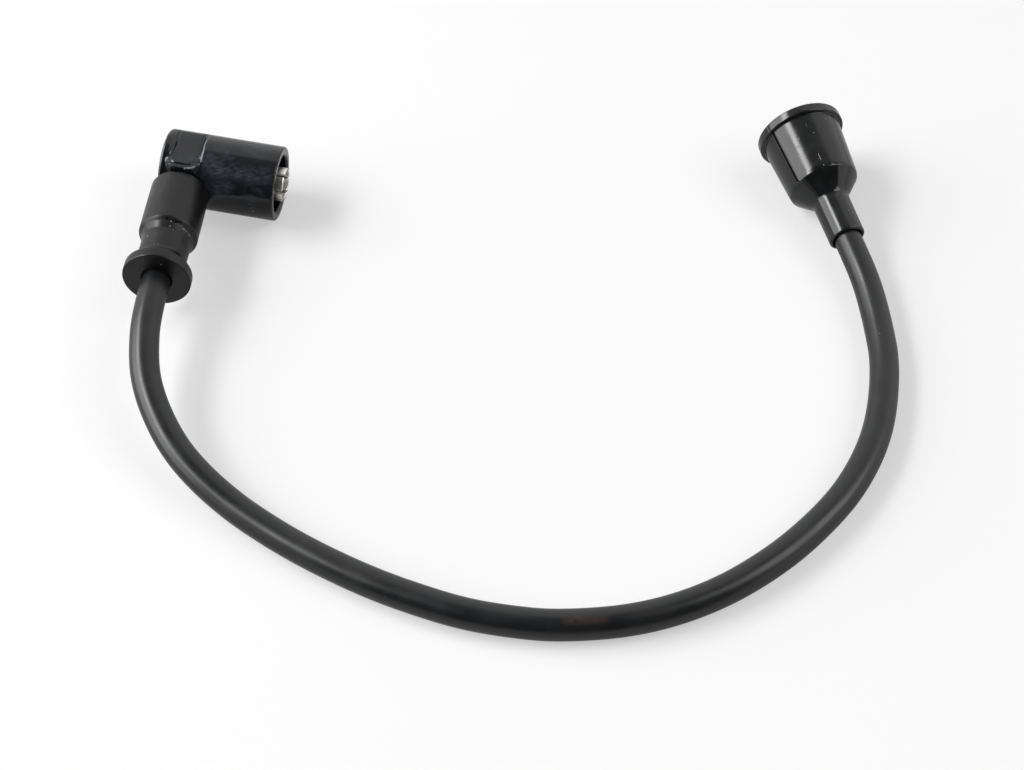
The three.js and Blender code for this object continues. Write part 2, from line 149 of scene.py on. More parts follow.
def rounded(corners: Iterable[Corner], step: float = ARC_STEP) -> Array:
    """Outline through corners, each one rounded by an arc.

    At a corner with fillet f and turn w the arc starts f tan(w / 2) before the corner, ends as
    far after it, and its centre lies f / cos(w / 2) along the corner's bisector.

    Args:
        corners: Station, radius and fillet of each corner of a closed outline.
        step: Largest turn between two points of an arc, in degrees.

    Returns:
        Points as rows of station and radius; the outline closes from the last to the first.
    """
    listed = [np.array(c, float) for c in corners]
    outline = []
    for before, here, after in zip([listed[-1], *listed], listed, [*listed[1:], listed[0]]):
        back, ahead = (v / np.linalg.norm(v) for v in (before[:2] - here[:2], after[:2] - here[:2]))
        turn = math.pi - math.acos(float(np.clip(back @ ahead, -1.0, 1.0)))
        if here[2] <= 0.0 or turn < LEAST_TURN:
            outline.append(here[None, :2])
            continue
        reach = here[2] * math.tan(turn / 2)
        middle = (back + ahead) / np.linalg.norm(back + ahead)
        centre = here[:2] + middle * here[2] / math.cos(turn / 2)
        count = max(2, math.ceil(math.degrees(turn) / step))
        share = np.linspace(0.0, 1.0, count + 1)[:, None] * turn
        first, last = here[:2] + back * reach - centre, here[:2] + ahead * reach - centre
        arc = (first * np.sin(turn - share) + last * np.sin(share)) / math.sin(turn)
        outline.append(centre + arc)
    return np.vstack(outline)


def subdivided(outline: Array, longest: float) -> Array:
    """Splits the outline's long stretches evenly, so that none is longer than longest."""
    ends = np.roll(outline, -1, axis=0)
    counts = np.maximum(1, np.ceil(np.linalg.norm(ends - outline, axis=1) / longest).astype(int))
    parts = [
        start + (end - start) * (np.arange(count) / count)[:, None]
        for start, end, count in zip(outline, ends, counts)
    ]
    return np.vstack(parts)


def through(points: Array, per_span: int = 24) -> Array:
    """Centripetal Catmull-Rom line through the points, the curve that the solids follow.

    Knots lie apart by the root of each chord. A span from p1 to p2 is the cubic with the
    tangents (p1-p0)/d0 - (p2-p0)/(d0+d1) + (p2-p1)/d1 at p1 and the like at p2, times d1.

    Args:
        points: Points of the route, one a row.
        per_span: Points made on each span.

    Returns:
        Points of the line, with the last one of the route.
    """
    ghosts = np.vstack([2 * points[0] - points[1], points, 2 * points[-1] - points[-2]])
    p0, p1, p2, p3 = ghosts[:-3], ghosts[1:-2], ghosts[2:-1], ghosts[3:]
    d0, d1, d2 = (
        np.sqrt(np.linalg.norm(b - a, axis=1, keepdims=True))
        for a, b in ((p0, p1), (p1, p2), (p2, p3))
    )
    leave = ((p1 - p0) / d0 - (p2 - p0) / (d0 + d1) + (p2 - p1) / d1) * d1
    arrive = ((p2 - p1) / d1 - (p3 - p1) / (d1 + d2) + (p3 - p2) / d2) * d1
    t = np.linspace(0.0, 1.0, per_span, endpoint=False)[None, :, None]
    cubic = (
        p1[:, None]
        + leave[:, None] * t
        + (3 * (p2 - p1) - 2 * leave - arrive)[:, None] * t ** 2
        + (2 * (p1 - p2) + leave + arrive)[:, None] * t ** 3
    )
    return np.vstack([cubic.reshape(-1, 3), points[-1]])


def evenly(line: Array, step: float) -> tuple[Array, Array]:
    """Places points about a step apart along a line, and gives the distance to each one too."""
    run = np.concatenate([[0.0], np.cumsum(np.linalg.norm(np.diff(line, axis=0), axis=1))])
    along = np.linspace(0.0, run[-1], max(2, round(run[-1] / step)) + 1)
    return np.stack([np.interp(along, run, line[:, i]) for i in range(3)], axis=1), along


# Meshes


def added(name: str, data: bpy.types.ID) -> Piece:
    """Puts new data into the scene as an object at the origin."""
    piece = bpy.data.objects.new(name, data)
    bpy.context.scene.collection.objects.link(piece)
    return piece


def grid_faces(rows: int, columns: int, closed: bool) -> Array:
    """Quads of a grid whose columns go all the way round, as rows of four vertex numbers.

    Vertex (r, c) has number r * columns + c, and a quad joins (r, c), (r + 1, c),
    (r + 1, c + 1) and (r, c + 1); closed joins the last row to the first.
    """
    r, c = np.divmod(np.arange((rows if closed else rows - 1) * columns), columns)
    down, right = (r + 1) % rows * columns, (c + 1) % columns
    return np.stack([r * columns + c, down + c, down + right, r * columns + right], 1)


def settle(piece: Piece) -> None:
    """Applies all modifiers of an object to its mesh."""
    graph = bpy.context.evaluated_depsgraph_get()
    graph.update()
    done = bpy.data.meshes.new_from_object(piece.evaluated_get(graph))
    old = piece.data
    piece.modifiers.clear()
    piece.data = done
    done.name = piece.name
    bpy.data.meshes.remove(old)


def shell(
    name: str, points: Array, quads: Array, weld: float = 1e-4, uv: Array | None = None
) -> Piece:
    """Makes an object from a closed shell, with its faces turned out.

    Where the sum of a . (b x c) over its triangles, six times its volume, is negative, the
    faces look in, and each quad is reversed.

    Args:
        name: Name of the object.
        points: Vertices in millimetres.
        quads: Vertex numbers of each quad.
        weld: Vertices closer than this, in millimetres, become one, which closes poles.
        uv: Map coordinates of each quad's corners, in metres.

    Returns:
        The new object, at the origin.
    """
    a, b, c, d = (points[quads[:, i]] for i in range(4))
    volume = np.einsum("ij,ij->", a, np.cross(b, c)) + np.einsum("ij,ij->", a, np.cross(c, d))
    turn = slice(None) if volume > 0 else slice(None, None, -1)
    mesh = bpy.data.meshes.new(name)
    mesh.from_pydata((points * MM).tolist(), [], quads[:, turn].tolist())
    if uv is not None:
        mesh.uv_layers.new(name=ROUTE).data.foreach_set("uv", uv[:, turn].astype("f").ravel())
    piece = added(name, mesh)
    if weld:
        piece.modifiers.new("weld", "WELD").merge_threshold = weld * MM
        settle(piece)
    return piece


def combined(body: Piece, others: Iterable[Piece], cut: Cut) -> Piece:
    """Joins or cuts a solid with others, which are then gone."""
    for other in others:
        change = body.modifiers.new("cut", "BOOLEAN")
        change.solver = "MANIFOLD"
        change.operation = cut.value
        change.object = other
        settle(body)
        bpy.data.objects.remove(other)
    return body


@dataclass(frozen=True)
class Placement:
    """Place of a sub-assembly's own axes in the frame of the solids.

    The axes are turned about z, rolled about x, drooped about y, headed about z and moved, in
    degrees and millimetres.
    """

    origin: Corner = (0.0, 0.0, 0.0)
    heading: float = 0.0
    droop: float = 0.0
    roll: float = 0.0
    turn: float = 0.0

    def axes(self) -> Array:
        """Matrix whose columns are the sub-assembly's axes."""
        whole = np.eye(3)
        turns = ((self.heading, 0, 1), (self.droop, 2, 0), (self.roll, 1, 2), (self.turn, 0, 1))
        for degrees, a, b in turns:
            one = np.eye(3)
            one[a, a] = one[b, b] = math.cos(math.radians(degrees))
            one[b, a] = math.sin(math.radians(degrees))
            one[a, b] = -one[b, a]
            whole = whole @ one
        return whole

    def carry(self, points: Array) -> Array:
        """Carries local points into the frame of the solids."""
        return points @ self.axes().T + np.array(self.origin)


def ring_angles(count: int) -> Array:
    """Angles of a ring's columns, from the top (local z) towards local -y."""
    return np.linspace(-math.pi, math.pi, count, endpoint=False)


def turned(
    name: str, outline: Array, place: Placement, sides: int = SIDES,
    bend: Bend | None = None, pole: bool = False,
) -> Piece:
    """Turns an outline round local x.

    A point is x = station, y = -radius sin(angle), z = radius cos(angle).

    Args:
        name: Name of the object.
        outline: Rows of station and radius.
        place: Where the piece stands.
        sides: Columns all the way round.
        bend: Changes station and radius from station, radius and angle, all as grids.
        pole: True where the outline starts and ends on the axis, False where it is a loop.

    Returns:
        The new object.
    """
    angle = ring_angles(sides)[None, :] + np.zeros((len(outline), 1))
    station = outline[:, :1] + np.zeros_like(angle)
    radius = outline[:, 1:2] + np.zeros_like(angle)
    if bend:
        station, radius = bend(station, radius, angle)
    spun = np.stack([station, -radius * np.sin(angle), radius * np.cos(angle)], axis=-1)
    faces = grid_faces(len(outline), sides, closed=not pole)
    return shell(name, place.carry(spun.reshape(-1, 3)), faces)


def bar(
    name: str, start: float, end: float, radius: float, edge: float, place: Placement,
    sides: int = SIDES,
) -> Piece:
    """A solid bar along local x with rounded ends."""
    corners = [(start, 0.0, 0.0), (start, radius, edge), (end, radius, edge), (end, 0.0, 0.0)]
    return turned(name, rounded(corners), place, sides, pole=True)


def block(name: str, low: Corner, high: Corner, place: Placement, spin: float = 0.0) -> Piece:
    """A cutter between two local corners, turned about local x by spin degrees."""
    side = np.array([[0, 0], [1, 0], [1, 1], [0, 1]])
    corners = np.array([[x, y, z] for x in (0, 1) for y, z in side]) * np.subtract(high, low) + low
    faces = np.vstack([grid_faces(2, 4, closed=False), [[0, 1, 2, 3], [7, 6, 5, 4]]])
    return shell(name, place.carry(corners @ Placement(roll=spin).axes().T), faces, weld=0.0)


def pipe(
    name: str, line: Array, along: Array, radius: float, sides: int, ahead: Array,
    swell: Field | None = None, dome: float = 0.0,
) -> Piece:
    """A round tube along a line, closed at both ends, with a UV map in metres.

    Each ring lies across the line's tangent t, between out = t x ahead and over = out x t, and
    its point at angle a is line + r (over cos a - out sin a). The map's u is the distance along
    the line and its v the distance round it.

    Args:
        name: Name of the object.
        line: Centre line in millimetres, in the frame of the solids.
        along: Distance from the start to each point of the line.
        radius: Radius in millimetres.
        sides: Columns round the tube.
        ahead: Direction that lies across the line all along it.
        swell: Change of the radius from distance and angle, in millimetres.
        dome: Length over which an end closes in a quarter round, 0 for a flat end.

    Returns:
        The new object.
    """
    tangent = np.gradient(line, along, axis=0)
    out = np.cross(tangent, ahead)
    over = np.cross(out, tangent)
    out, over = (v / np.linalg.norm(v, axis=1, keepdims=True) for v in (out, over))
    angle = ring_angles(sides)
    reach = np.full((len(line), sides), float(radius))
    if swell:
        reach += swell(along[:, None], angle[None, :])
    if dome:
        close = np.clip(1.0 - np.minimum(along, along[-1] - along) / dome, 0.0, 1.0)
        reach *= np.sqrt(1.0 - close ** 2)[:, None]
    ring = over[:, None] * np.cos(angle)[None, :, None] - out[:, None] * np.sin(angle)[None, :, None]
    first, last = (np.repeat(line[i][None, None], sides, axis=1) for i in (0, -1))
    points = np.concatenate([first, line[:, None] + ring * reach[..., None], last])
    row, column = np.divmod(np.arange((len(line) + 1) * sides), sides)
    u = np.pad(along, 1, mode="edge")[np.stack([row, row + 1, row + 1, row], 1)]
    v = np.stack([column, column, column + 1, column + 1], 1) * (2 * math.pi * radius / sides)
    faces = grid_faces(len(points), sides, closed=False)
    return shell(name, points.reshape(-1, 3), faces, uv=np.stack([u, v], axis=-1) * MM)


def open_ring(
    name: str, station: float, radius: float, wire: float, gap: float, place: Placement
) -> Piece:
    """A wire ring round local x, with gap degrees left open and domed ends."""
    angle = np.radians(np.linspace(gap / 2, 360 - gap / 2, WIRE_STEPS))
    line = np.stack([station + 0 * angle, radius * np.cos(angle), radius * np.sin(angle)], axis=1)
    along = radius * (angle - angle[0])
    return pipe(name, place.carry(line), along, wire, WIRE_SIDES, place.axes()[:, 0], dome=wire)


def split(
    body: Piece, count: int, width: float, ends: tuple[float, float], reach: float,
    turn: float, place: Placement,
) -> Piece:
    """Cuts count equal slots into the free end of a socket, two with each blade."""
    low, high = (ends[0], -width / 2, -reach), (ends[1], width / 2, reach)
    turns = [turn + 360 / count * i for i in range(count // 2)]
    blades = [block(f"blade_{i}", low, high, place, spin) for i, spin in enumerate(turns)]
    return combined(body, blades, Cut.TAKE)


# Finishes


class Nodes:
    """A node tree in the making."""

    def __init__(self, owner: bpy.types.Material | bpy.types.World) -> None:
        """Starts from the owner's tree, emptied."""
        owner.use_nodes = True
        self.tree = owner.node_tree
        self.tree.nodes.clear()

    def feed(self, node: bpy.types.Node, inputs: Inputs) -> None:
        """Links sockets to a node's inputs, and sets the inputs that get plain values."""
        for key, value in inputs.items():
            if isinstance(value, Socket):
                self.tree.links.new(value, node.inputs[key])
            else:
                node.inputs[key].default_value = value

    def add(self, kind: str, inputs: Inputs | None = None, **settings: object) -> Outputs:
        """Adds a node.

        Args:
            kind: Blender's name of the node, without its "ShaderNode".
            inputs: Value or linked socket of each input, by name or number.
            **settings: The node's own properties.

        Returns:
            The node's outputs.
        """
        node = self.tree.nodes.new("ShaderNode" + kind)
        for key, value in settings.items():
            setattr(node, key, value)
        self.feed(node, inputs or {})
        return node.outputs

    def seen(self, mirrored: float = 1.0) -> Socket:
        """1 for rays from the camera and refracted ones, mirrored for mirrored ones, else 0."""
        path = self.add("LightPath")
        inputs: Inputs = {0: path["Is Glossy Ray"], 1: mirrored, 2: path["Is Camera Ray"]}
        direct = self.add("Math", inputs, operation="MULTIPLY_ADD")[0]
        return self.add("Math", {0: direct, 1: path["Is Transmission Ray"]}, operation="ADD")[0]


@dataclass(frozen=True)
class Mark:
    """One grain, nick, scratch, painted highlight or line of painted shade, in the axes of the piece
    that carries it.

    Points are station along the piece, then local y and z, in millimetres. The mark is gone
    beyond its size from its line; a grain has no end.
    """

    start: Corner
    size: float
    end: Corner | None = None


def trail(size: float, *points: Corner) -> tuple[Mark, ...]:
    """Marks of one size, end to end through the points."""
    return tuple(Mark(first, size, last) for first, last in zip(points, points[1:]))


@dataclass(frozen=True)
class SurfaceMarks:
    """A piece's own marks: pale ones, dark ones and patches with a blurred gloss; some pale ones are
    painted highlights and some dark ones painted shade.
    """

    pale: tuple[Mark, ...] = ()
    dark: tuple[Mark, ...] = ()
    blurred: tuple[Mark, ...] = ()


@dataclass(frozen=True)
class Specks:
    """Scattered marks: a share of the cells, each cell wide, holds one of the given radius."""

    cell: float
    radius: float
    share: float
    seed: float


@dataclass(frozen=True)
class Layer:
    """What a mask lays over a surface; shine is the part of the surface's mirroring that stays."""

    mask: Socket
    colour: str
    roughness: float
    shine: float = 1.0


class Pattern(Nodes):
    """One material in the making, in Object coordinates; lengths are millimetres."""

    def __init__(self, name: str, fixed: Inputs) -> None:
        """Starts a material whose Principled shader has the fixed inputs."""
        self.material = bpy.data.materials.new(name)
        super().__init__(self.material)
        self.shader = self.tree.nodes.new("ShaderNodeBsdfPrincipled")
        self.feed(self.shader, fixed)
        self.add("OutputMaterial", {"Surface": self.shader.outputs[0]})
        self.place = self.add("TexCoord")["Object"]
        self.normal: Socket | None = None

    def cloud(
        self, size: float, detail: float, stretch: float = 1.0,
        source: Socket | None = None, warp: float = 0.0,
    ) -> Socket:
        """Noise about size wide, and 1 / stretch times as long along x of its source."""
        scale = (stretch, 1.0, 1.0)
        drawn = self.add("Mapping", {"Vector": source or self.place, "Scale": scale})[0]
        inputs: Inputs = {"Vector": drawn, "Scale": 1 / (size * MM), "Detail": detail}
        return self.add("TexNoise", {**inputs, "Distortion": warp})["Fac"]

    def blotches(
        self, size: float, detail: float, start: float, end: float, **more: object
    ) -> Socket:
        """Mask of soft blotches: a cloud that rises from 0 at start to 1 at end."""
        inputs: Inputs = {"Value": self.cloud(size, detail, **more), 1: start, 2: end}
        return self.add("MapRange", inputs, interpolation_type="SMOOTHSTEP")[0]

    def uneven(self, size: float, detail: float, depth: float, **more: object) -> None:
        """Adds bumps about size wide and depth high to the ones already there."""
        height = self.cloud(size, detail, **more)
        inputs: Inputs = {"Height": height, "Distance": depth * MM, "Strength": BUMP_STRENGTH}
        if self.normal:
            inputs["Normal"] = self.normal
        self.normal = self.add("Bump", inputs)[0]

    def specks(self, grain: Specks) -> Socket:
        """Mask of scattered specks, each one near the middle of its cell and a little ragged."""
        radius, edge = grain.radius * MM, grain.radius / grain.cell
        shift = (grain.seed, grain.seed * 0.7, -grain.seed)
        moved = self.add("Mapping", {"Vector": self.place, "Location": shift})[0]
        fineness = 1 / (SPECK_WOBBLE * radius)
        wobble = self.add("TexNoise", {"Vector": moved, "Scale": fineness})["Color"]
        inputs: Inputs = {0: wobble, 1: (SPECK_SWAY * radius,) * 3, 2: moved}
        ragged = self.add("VectorMath", inputs, operation="MULTIPLY_ADD")[0]
        cells = self.add("TexVoronoi", {"Vector": ragged, "Scale": 1 / (grain.cell * MM)})
        inputs = {"Value": cells["Distance"], 1: edge, 2: SPECK_CORE * edge}
        mark = self.add("MapRange", inputs, interpolation_type="SMOOTHSTEP")[0]
        chance = self.add("SeparateXYZ", {0: cells["Color"]})[0]
        chosen = self.add("Math", {0: chance, 1: grain.share}, operation="LESS_THAN")[0]
        return self.add("Math", {0: mark, 1: chosen}, operation="MULTIPLY")[0]

    def away(self, first: Array, last: Array) -> Socket:
        """Distance from the line between two points, in metres.

        The nearest point is first + share * run, where share is ((p - first) . run) / run^2,
        held between 0 and 1.
        """
        run = (last - first) * MM
        square = float(run @ run) or 1.0
        step = self.add("VectorMath", {0: self.place, 1: tuple(first * MM)}, operation="SUBTRACT")[0]
        inputs: Inputs = {0: step, 1: tuple(run / square)}
        share = self.add("VectorMath", inputs, operation="DOT_PRODUCT")["Value"]
        inputs = {0: tuple(run), "Scale": self.add("Clamp", {"Value": share})[0]}
        near = self.add("VectorMath", inputs, operation="SCALE")[0]
        return self.add("VectorMath", {0: step, 1: near}, operation="DISTANCE")["Value"]

    def marked(
        self, marks: Iterable[Mark], place: Placement, core: float, texture: object = 1.0
    ) -> Socket:
        """Mask of a piece's own marks, each full within core times its size, times a texture."""
        mask: object = 0.0
        for mark in marks:
            ends = place.carry(np.array([mark.start, mark.end or mark.start]))
            inputs: Inputs = {"Value": self.away(*ends), 1: mark.size * MM, 2: core * mark.size * MM}
            line = self.add("MapRange", inputs, interpolation_type="SMOOTHSTEP")[0]
            mask = self.add("Math", {0: mask, 1: line}, operation="MAXIMUM")[0]
        return self.add("Math", {0: mask, 1: texture}, operation="MULTIPLY")[0]

    def mark_layers(self, surface_marks: SurfaceMarks, place: Placement, pale: str, haze: str) -> list[Layer]:
        """A piece's own marks as layers, painted highlights and painted shade among them.

        Args:
            surface_marks: The marks.
            place: Axes that the marks are given in.
            pale: Colour of the pale marks, which are dust, scratches and painted highlights.
            haze: Colour of the blurred patches, which are streaked along x.

        Returns:
            The layers of blurred, pale and dark marks.
        """
        streaks = self.blotches(*STREAKS, stretch=STREAK_STRETCH)
        ragged = self.blotches(*RAGGED)
        return [
            Layer(self.marked(surface_marks.blurred, place, 0.0, streaks), haze, HAZE_ROUGHNESS),
            # Pale marks: dust and scratches, and painted highlights along edges and a mould ridge.
            Layer(self.marked(surface_marks.pale, place, MARK_CORE, ragged), pale, MARK_ROUGHNESS),
            # Dark marks: nicks, and painted shade; with no shine they mirror nothing.
            Layer(self.marked(surface_marks.dark, place, MARK_CORE), NICK_AND_SHADE, MARK_ROUGHNESS, shine=0.0),
        ]

    def finish(self, colour: str, roughness: float, layers: Iterable[Layer] = ()) -> Material:
        """Lays the layers over a plain surface, the last one on top, and gives the material."""
        shine = self.shader.inputs["Specular IOR Level"].default_value
        hue, rough, level = linear(colour), roughness, shine
        for layer in layers:
            coats: Inputs = {0: layer.mask, 6: hue, 7: linear(layer.colour)}
            hue = self.add("Mix", coats, data_type="RGBA")[2]
            rough = self.add("Mix", {0: layer.mask, 2: rough, 3: layer.roughness})[0]
            level = self.add("Mix", {0: layer.mask, 2: level, 3: shine * layer.shine})[0]
        self.feed(self.shader, {"Base Color": hue, "Roughness": rough, "Specular IOR Level": level})
        if self.normal:
            self.feed(self.shader, {"Normal": self.normal})
        return self.material


@dataclass(frozen=True)
class Polymer:
    """Black plastic or rubber: a base, a bloom over part of it, dust, and the piece's own marks, whose
    pale ones share the dust's colour and include painted highlights.
    """

    name: str
    colour: str
    bloom: str
    dust_and_highlight: str
    gloss: float
    dull: float
    mirror: float
    grains: tuple[Specks, ...]
    bumps: tuple[Corner, ...]
    haze: str = "#373c46"
    cloud: tuple[float, ...] = (3.6, 3.0, 0.35, 0.7)
    refraction: float = 1.5

    def clouded(self, p: Pattern) -> Socket:
        """Mask of the bloom; a cloud has its size, detail, start and end."""
        return p.blotches(*self.cloud)

    def material(self, surface_marks: SurfaceMarks, place: Placement) -> Material:
        """Builds the material with a piece's own marks, which are given in the axes of place."""
        p = Pattern(self.name, {"IOR": self.refraction, "Specular IOR Level": self.mirror})
        layers = [Layer(self.clouded(p), self.bloom, self.dull)]
        layers += [Layer(p.specks(grain), self.dust_and_highlight, DUST_ROUGHNESS) for grain in self.grains]
        for bump in self.bumps:
            p.uneven(*bump)
        # The pale marks, painted highlights among them, take the dust's colour.
        return p.finish(self.colour, self.gloss, layers + p.mark_layers(surface_marks, place, self.dust_and_highlight, self.haze))


@dataclass(frozen=True)
class MouldedPlastic(Polymer):
    """Glass-filled thermoset, moulded against polished steel.

    To the eye it is a deep glossy black with a skin that waves very slightly, blurred and a
    little blue in soft patches where it was handled, with grains of dust; the pale lines along
    its edges are painted highlights and a dark line by the pad is painted shade.
    """

    veil: tuple[float, ...] = (1.1, 5.0, 0.3, 0.8)
    veil_stretch: float = 0.5
    warp: float = 0.8

    def clouded(self, p: Pattern) -> Socket:
        """Mask of the handled patches, with fine streaks in them."""
        patch = p.blotches(*self.cloud, warp=self.warp)
        veil = p.blotches(*self.veil, stretch=self.veil_stretch)
        return p.add("Math", {0: patch, 1: veil}, operation="MULTIPLY")[0]


class MouldedRubber(Polymer):
    """Moulded rubber, such as silicone or EPDM.

    To the eye it is black with a grey bloom; the mould's surface decides whether lamps show as
    panels or only as soft shading. Grains of dust cling to it.
    """


@dataclass(frozen=True)
class ExtrudedJacket(Polymer):
    """Extruded cable jacket, such as EPDM or PVC.

    To the eye it is a soft black with a satin light band, faint lines along its run from the
    die, scattered dust and one dull brownish scuff.
    """

    lines: Corner = (0.45, 2.0, 0.012)
    line_stretch: float = 0.02

    def clouded(self, p: Pattern) -> Socket:
        """Mask of the bloom; the die's lines run along the map of the tube."""
        route = p.add("UVMap", uv_map=ROUTE)[0]
        p.uneven(*self.lines, stretch=self.line_stretch, source=route)
        return super().clouded(p)


@dataclass(frozen=True)
class PlatedMetal:
    """Sheet or turned metal with its plating.

    To the eye it is a bright metal with faint tool marks, and dull in patches where it has
    tarnished.
    """

    name: str
    colour: str
    tarnish: str
    gloss: float
    dull: float
    clean: float = 0.52
    cloud: tuple[float, float] = (1.6, 4.0)
    blend: float = 0.18
    tooling: Corner = (0.2, 2.0, 0.003)

    def material(self) -> Material:
        """Builds the material; noise above clean shows as tarnish."""
        p = Pattern(self.name, {"Metallic": 1.0})
        p.uneven(*self.tooling)
        tarnished = p.blotches(*self.cloud, self.clean, self.clean + self.blend)
        return p.finish(self.colour, self.gloss, [Layer(tarnished, self.tarnish, self.dull)])


@dataclass(frozen=True)
class FiredCeramic:
    """Unglazed alumina of the resistor: off-white, even and dull."""

    name: str = "fired_ceramic"
    colour: str = "#e4dfd2"
    stain: str = "#cfc8b8"
    roughness: float = 0.55
    refraction: float = 1.7
    grain: Corner = (0.15, 2.0, 0.005)
    cloud: tuple[float, ...] = (1.2, 3.0, 0.3, 0.7)

    def material(self) -> Material:
        """Builds the material."""
        p = Pattern(self.name, {"IOR": self.refraction})
        p.uneven(*self.grain)
        stained = p.blotches(*self.cloud)
        return p.finish(self.colour, self.roughness, [Layer(stained, self.stain, self.roughness)])


THERMOSET = MouldedPlastic(
    "moulded_thermoset", "#0f1013", "#292d36", "#83868b", 0.13, 0.33, 0.42,
    grains=(Specks(3.4, 0.1, 0.12, 0.013), Specks(8.0, 0.16, 0.2, 0.031)),
    bumps=((4.5, 1.0, 0.03), (0.3, 2.0, 0.002)), cloud=(5.0, 3.0, 0.42, 0.72),
)
BOOT_MATT = MouldedRubber(
    "matt_rubber", "#0d0d0e", "#151516", "#8a8a8c", 0.3, 0.4, 0.36,
    grains=(Specks(3.4, 0.1, 0.12, 0.017), Specks(8.0, 0.19, 0.12, 0.041)),
    bumps=((1.5, 3.0, 0.012), (0.28, 2.0, 0.01)),
)
BOOT_SATIN = MouldedRubber(
    "satin_rubber", "#0e0f10", "#151617", "#96979a", 0.12, 0.2, 0.5,
    grains=(
        Specks(2.2, 0.08, 0.2, 0.017), Specks(8.0, 0.19, 0.2, 0.041), Specks(1.3, 0.05, 0.16, 0.029),
    ),
    bumps=((1.5, 3.0, 0.018), (0.28, 2.0, 0.004)),
)
JACKET = ExtrudedJacket(
    "extruded_jacket", "#0e0f11", "#151618", "#7d7e82", 0.29, 0.37, 0.5,
    grains=(Specks(4.0, 0.1, 0.2, 0.023), Specks(12.0, 0.17, 0.3, 0.057)),
    bumps=((0.35, 2.0, 0.004),), haze="#3a2c20", cloud=(9.0, 3.0, 0.35, 0.7),
)
METALS = {
    Look.NICKEL: PlatedMetal("nickel_plate", "#f0ede7", "#b39c84", 0.3, 0.5, 0.56),
    Look.BRASS: PlatedMetal("drawn_brass", "#c2a25a", "#8a6f3c", 0.28, 0.45),
    Look.STEEL: PlatedMetal("spring_steel", "#b4b6b8", "#84868a", 0.25, 0.4),
    Look.CORE: PlatedMetal("stripped_core", "#6f6152", "#463c33", 0.55, 0.7),
}


def made_finishes(
    cable: "Cable", connector: "Connector", arm: "ArmBoot", straight: "StraightBoot"
) -> Finishes:
    """Makes every material once, with the marks of the pieces that it is for."""
    return {
        Look.PLASTIC: THERMOSET.material(connector.surface_marks, connector.place),
        Look.MATT: BOOT_MATT.material(arm.surface_marks, arm.place()),
        Look.SATIN: BOOT_SATIN.material(straight.surface_marks, straight.place()),
        Look.JACKET: JACKET.material(cable.surface_marks, Placement()),
        **{look: metal.material() for look, metal in METALS.items()},
        Look.CERAMIC: FiredCeramic().material(),
    }


def dress(piece: Piece, finishes: Finishes, look: Look, *nodes: str) -> Piece:
    """Finishes a piece: shading, material, slot, the solids it stands for and its body."""
    piece.data.shade_smooth()
    piece.data.set_sharp_from_angle(angle=SHARP_ANGLE)
    paint(piece, finishes, look)
    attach(piece, "root")
    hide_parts(*nodes)
    return piece


def paint(piece: Piece, finishes: Finishes, look: Look) -> None:
    """Gives a piece its only material."""
    piece.data.materials.clear()
    piece.data.materials.append(finishes[look])


# The lead


@dataclass
class Cable:
    """The 7 mm cable, from the crimp in the connector's arm to the crimp in the straight boot."""

    radius: float = 3.5
    sides: int = 72
    step: float = 0.42
    swell: float = 0.015
    swell_lengths: tuple[float, float] = (7.3, 3.1)
    exit: Corner = (-0.08354, -0.02838, 0.01344)
    length: float = 0.349
    surface_marks: SurfaceMarks = SurfaceMarks(
        pale=(Mark((-81.5, -65.0, 13.0), 0.2), Mark((91.4, -40.0, 7.1), 0.18)),
        blurred=(Mark((14.5, -119.9, 7.0), 1.6, (22.5, -119.5, 6.9)),),
    )
    route: tuple[Corner, ...] = (
        (-82.2, -6.4, 12.4), (-82.8, -17.0, 12.9), (-83.5, -28.4, 13.4), (-84.1, -36.6, 13.6),
        (-84.2, -45.5, 12.9), (-82.8, -56.4, 11.5), (-79.2, -66.2, 9.7), (-74.1, -74.8, 7.8),
        (-67.7, -82.0, 6.0), (-60.5, -88.2, 4.6), (-52.7, -93.9, 3.8), (-44.6, -99.2, 3.6),
        (-32.4, -106.1, 3.6), (-20.0, -111.7, 3.6), (-7.5, -116.0, 3.6), (5.1, -118.4, 3.6),
        (13.7, -118.9, 3.6), (26.5, -117.9, 3.6), (39.2, -114.6, 3.6), (51.5, -108.7, 3.6),
        (63.2, -100.4, 3.6), (74.2, -89.7, 3.6), (80.8, -81.0, 3.6), (86.2, -70.9, 3.6),
        (89.9, -59.7, 3.6), (92.2, -45.7, 3.65), (92.2, -35.4, 3.9), (91.1, -23.5, 4.7),
        (90.0, -17.5, 5.3), (88.8, -12.9, 5.9), (87.5, -8.2, 6.6), (84.8, 1.3, 8.0),
        (81.9, 11.7, 9.5),
    )

    def build(self, finishes: Finishes) -> list[Piece]:
        line, along = evenly(through(np.array(self.route)), self.step)

        def uneven(s: Array, a: Array) -> Array:
            """Slow change of the radius along and round the jacket, twice the swell at most."""
            slow, quick = self.swell_lengths
            return self.swell * (np.sin(s / slow + 2 * a) + np.sin(s / quick - a + 1.0))

        up = np.array([0.0, 0.0, 1.0])
        piece = pipe("cable_jacket", line, along, self.radius, self.sides, up, uneven)
        dress(piece, finishes, Look.JACKET, "cable")
        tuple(self.exit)
        return [piece]


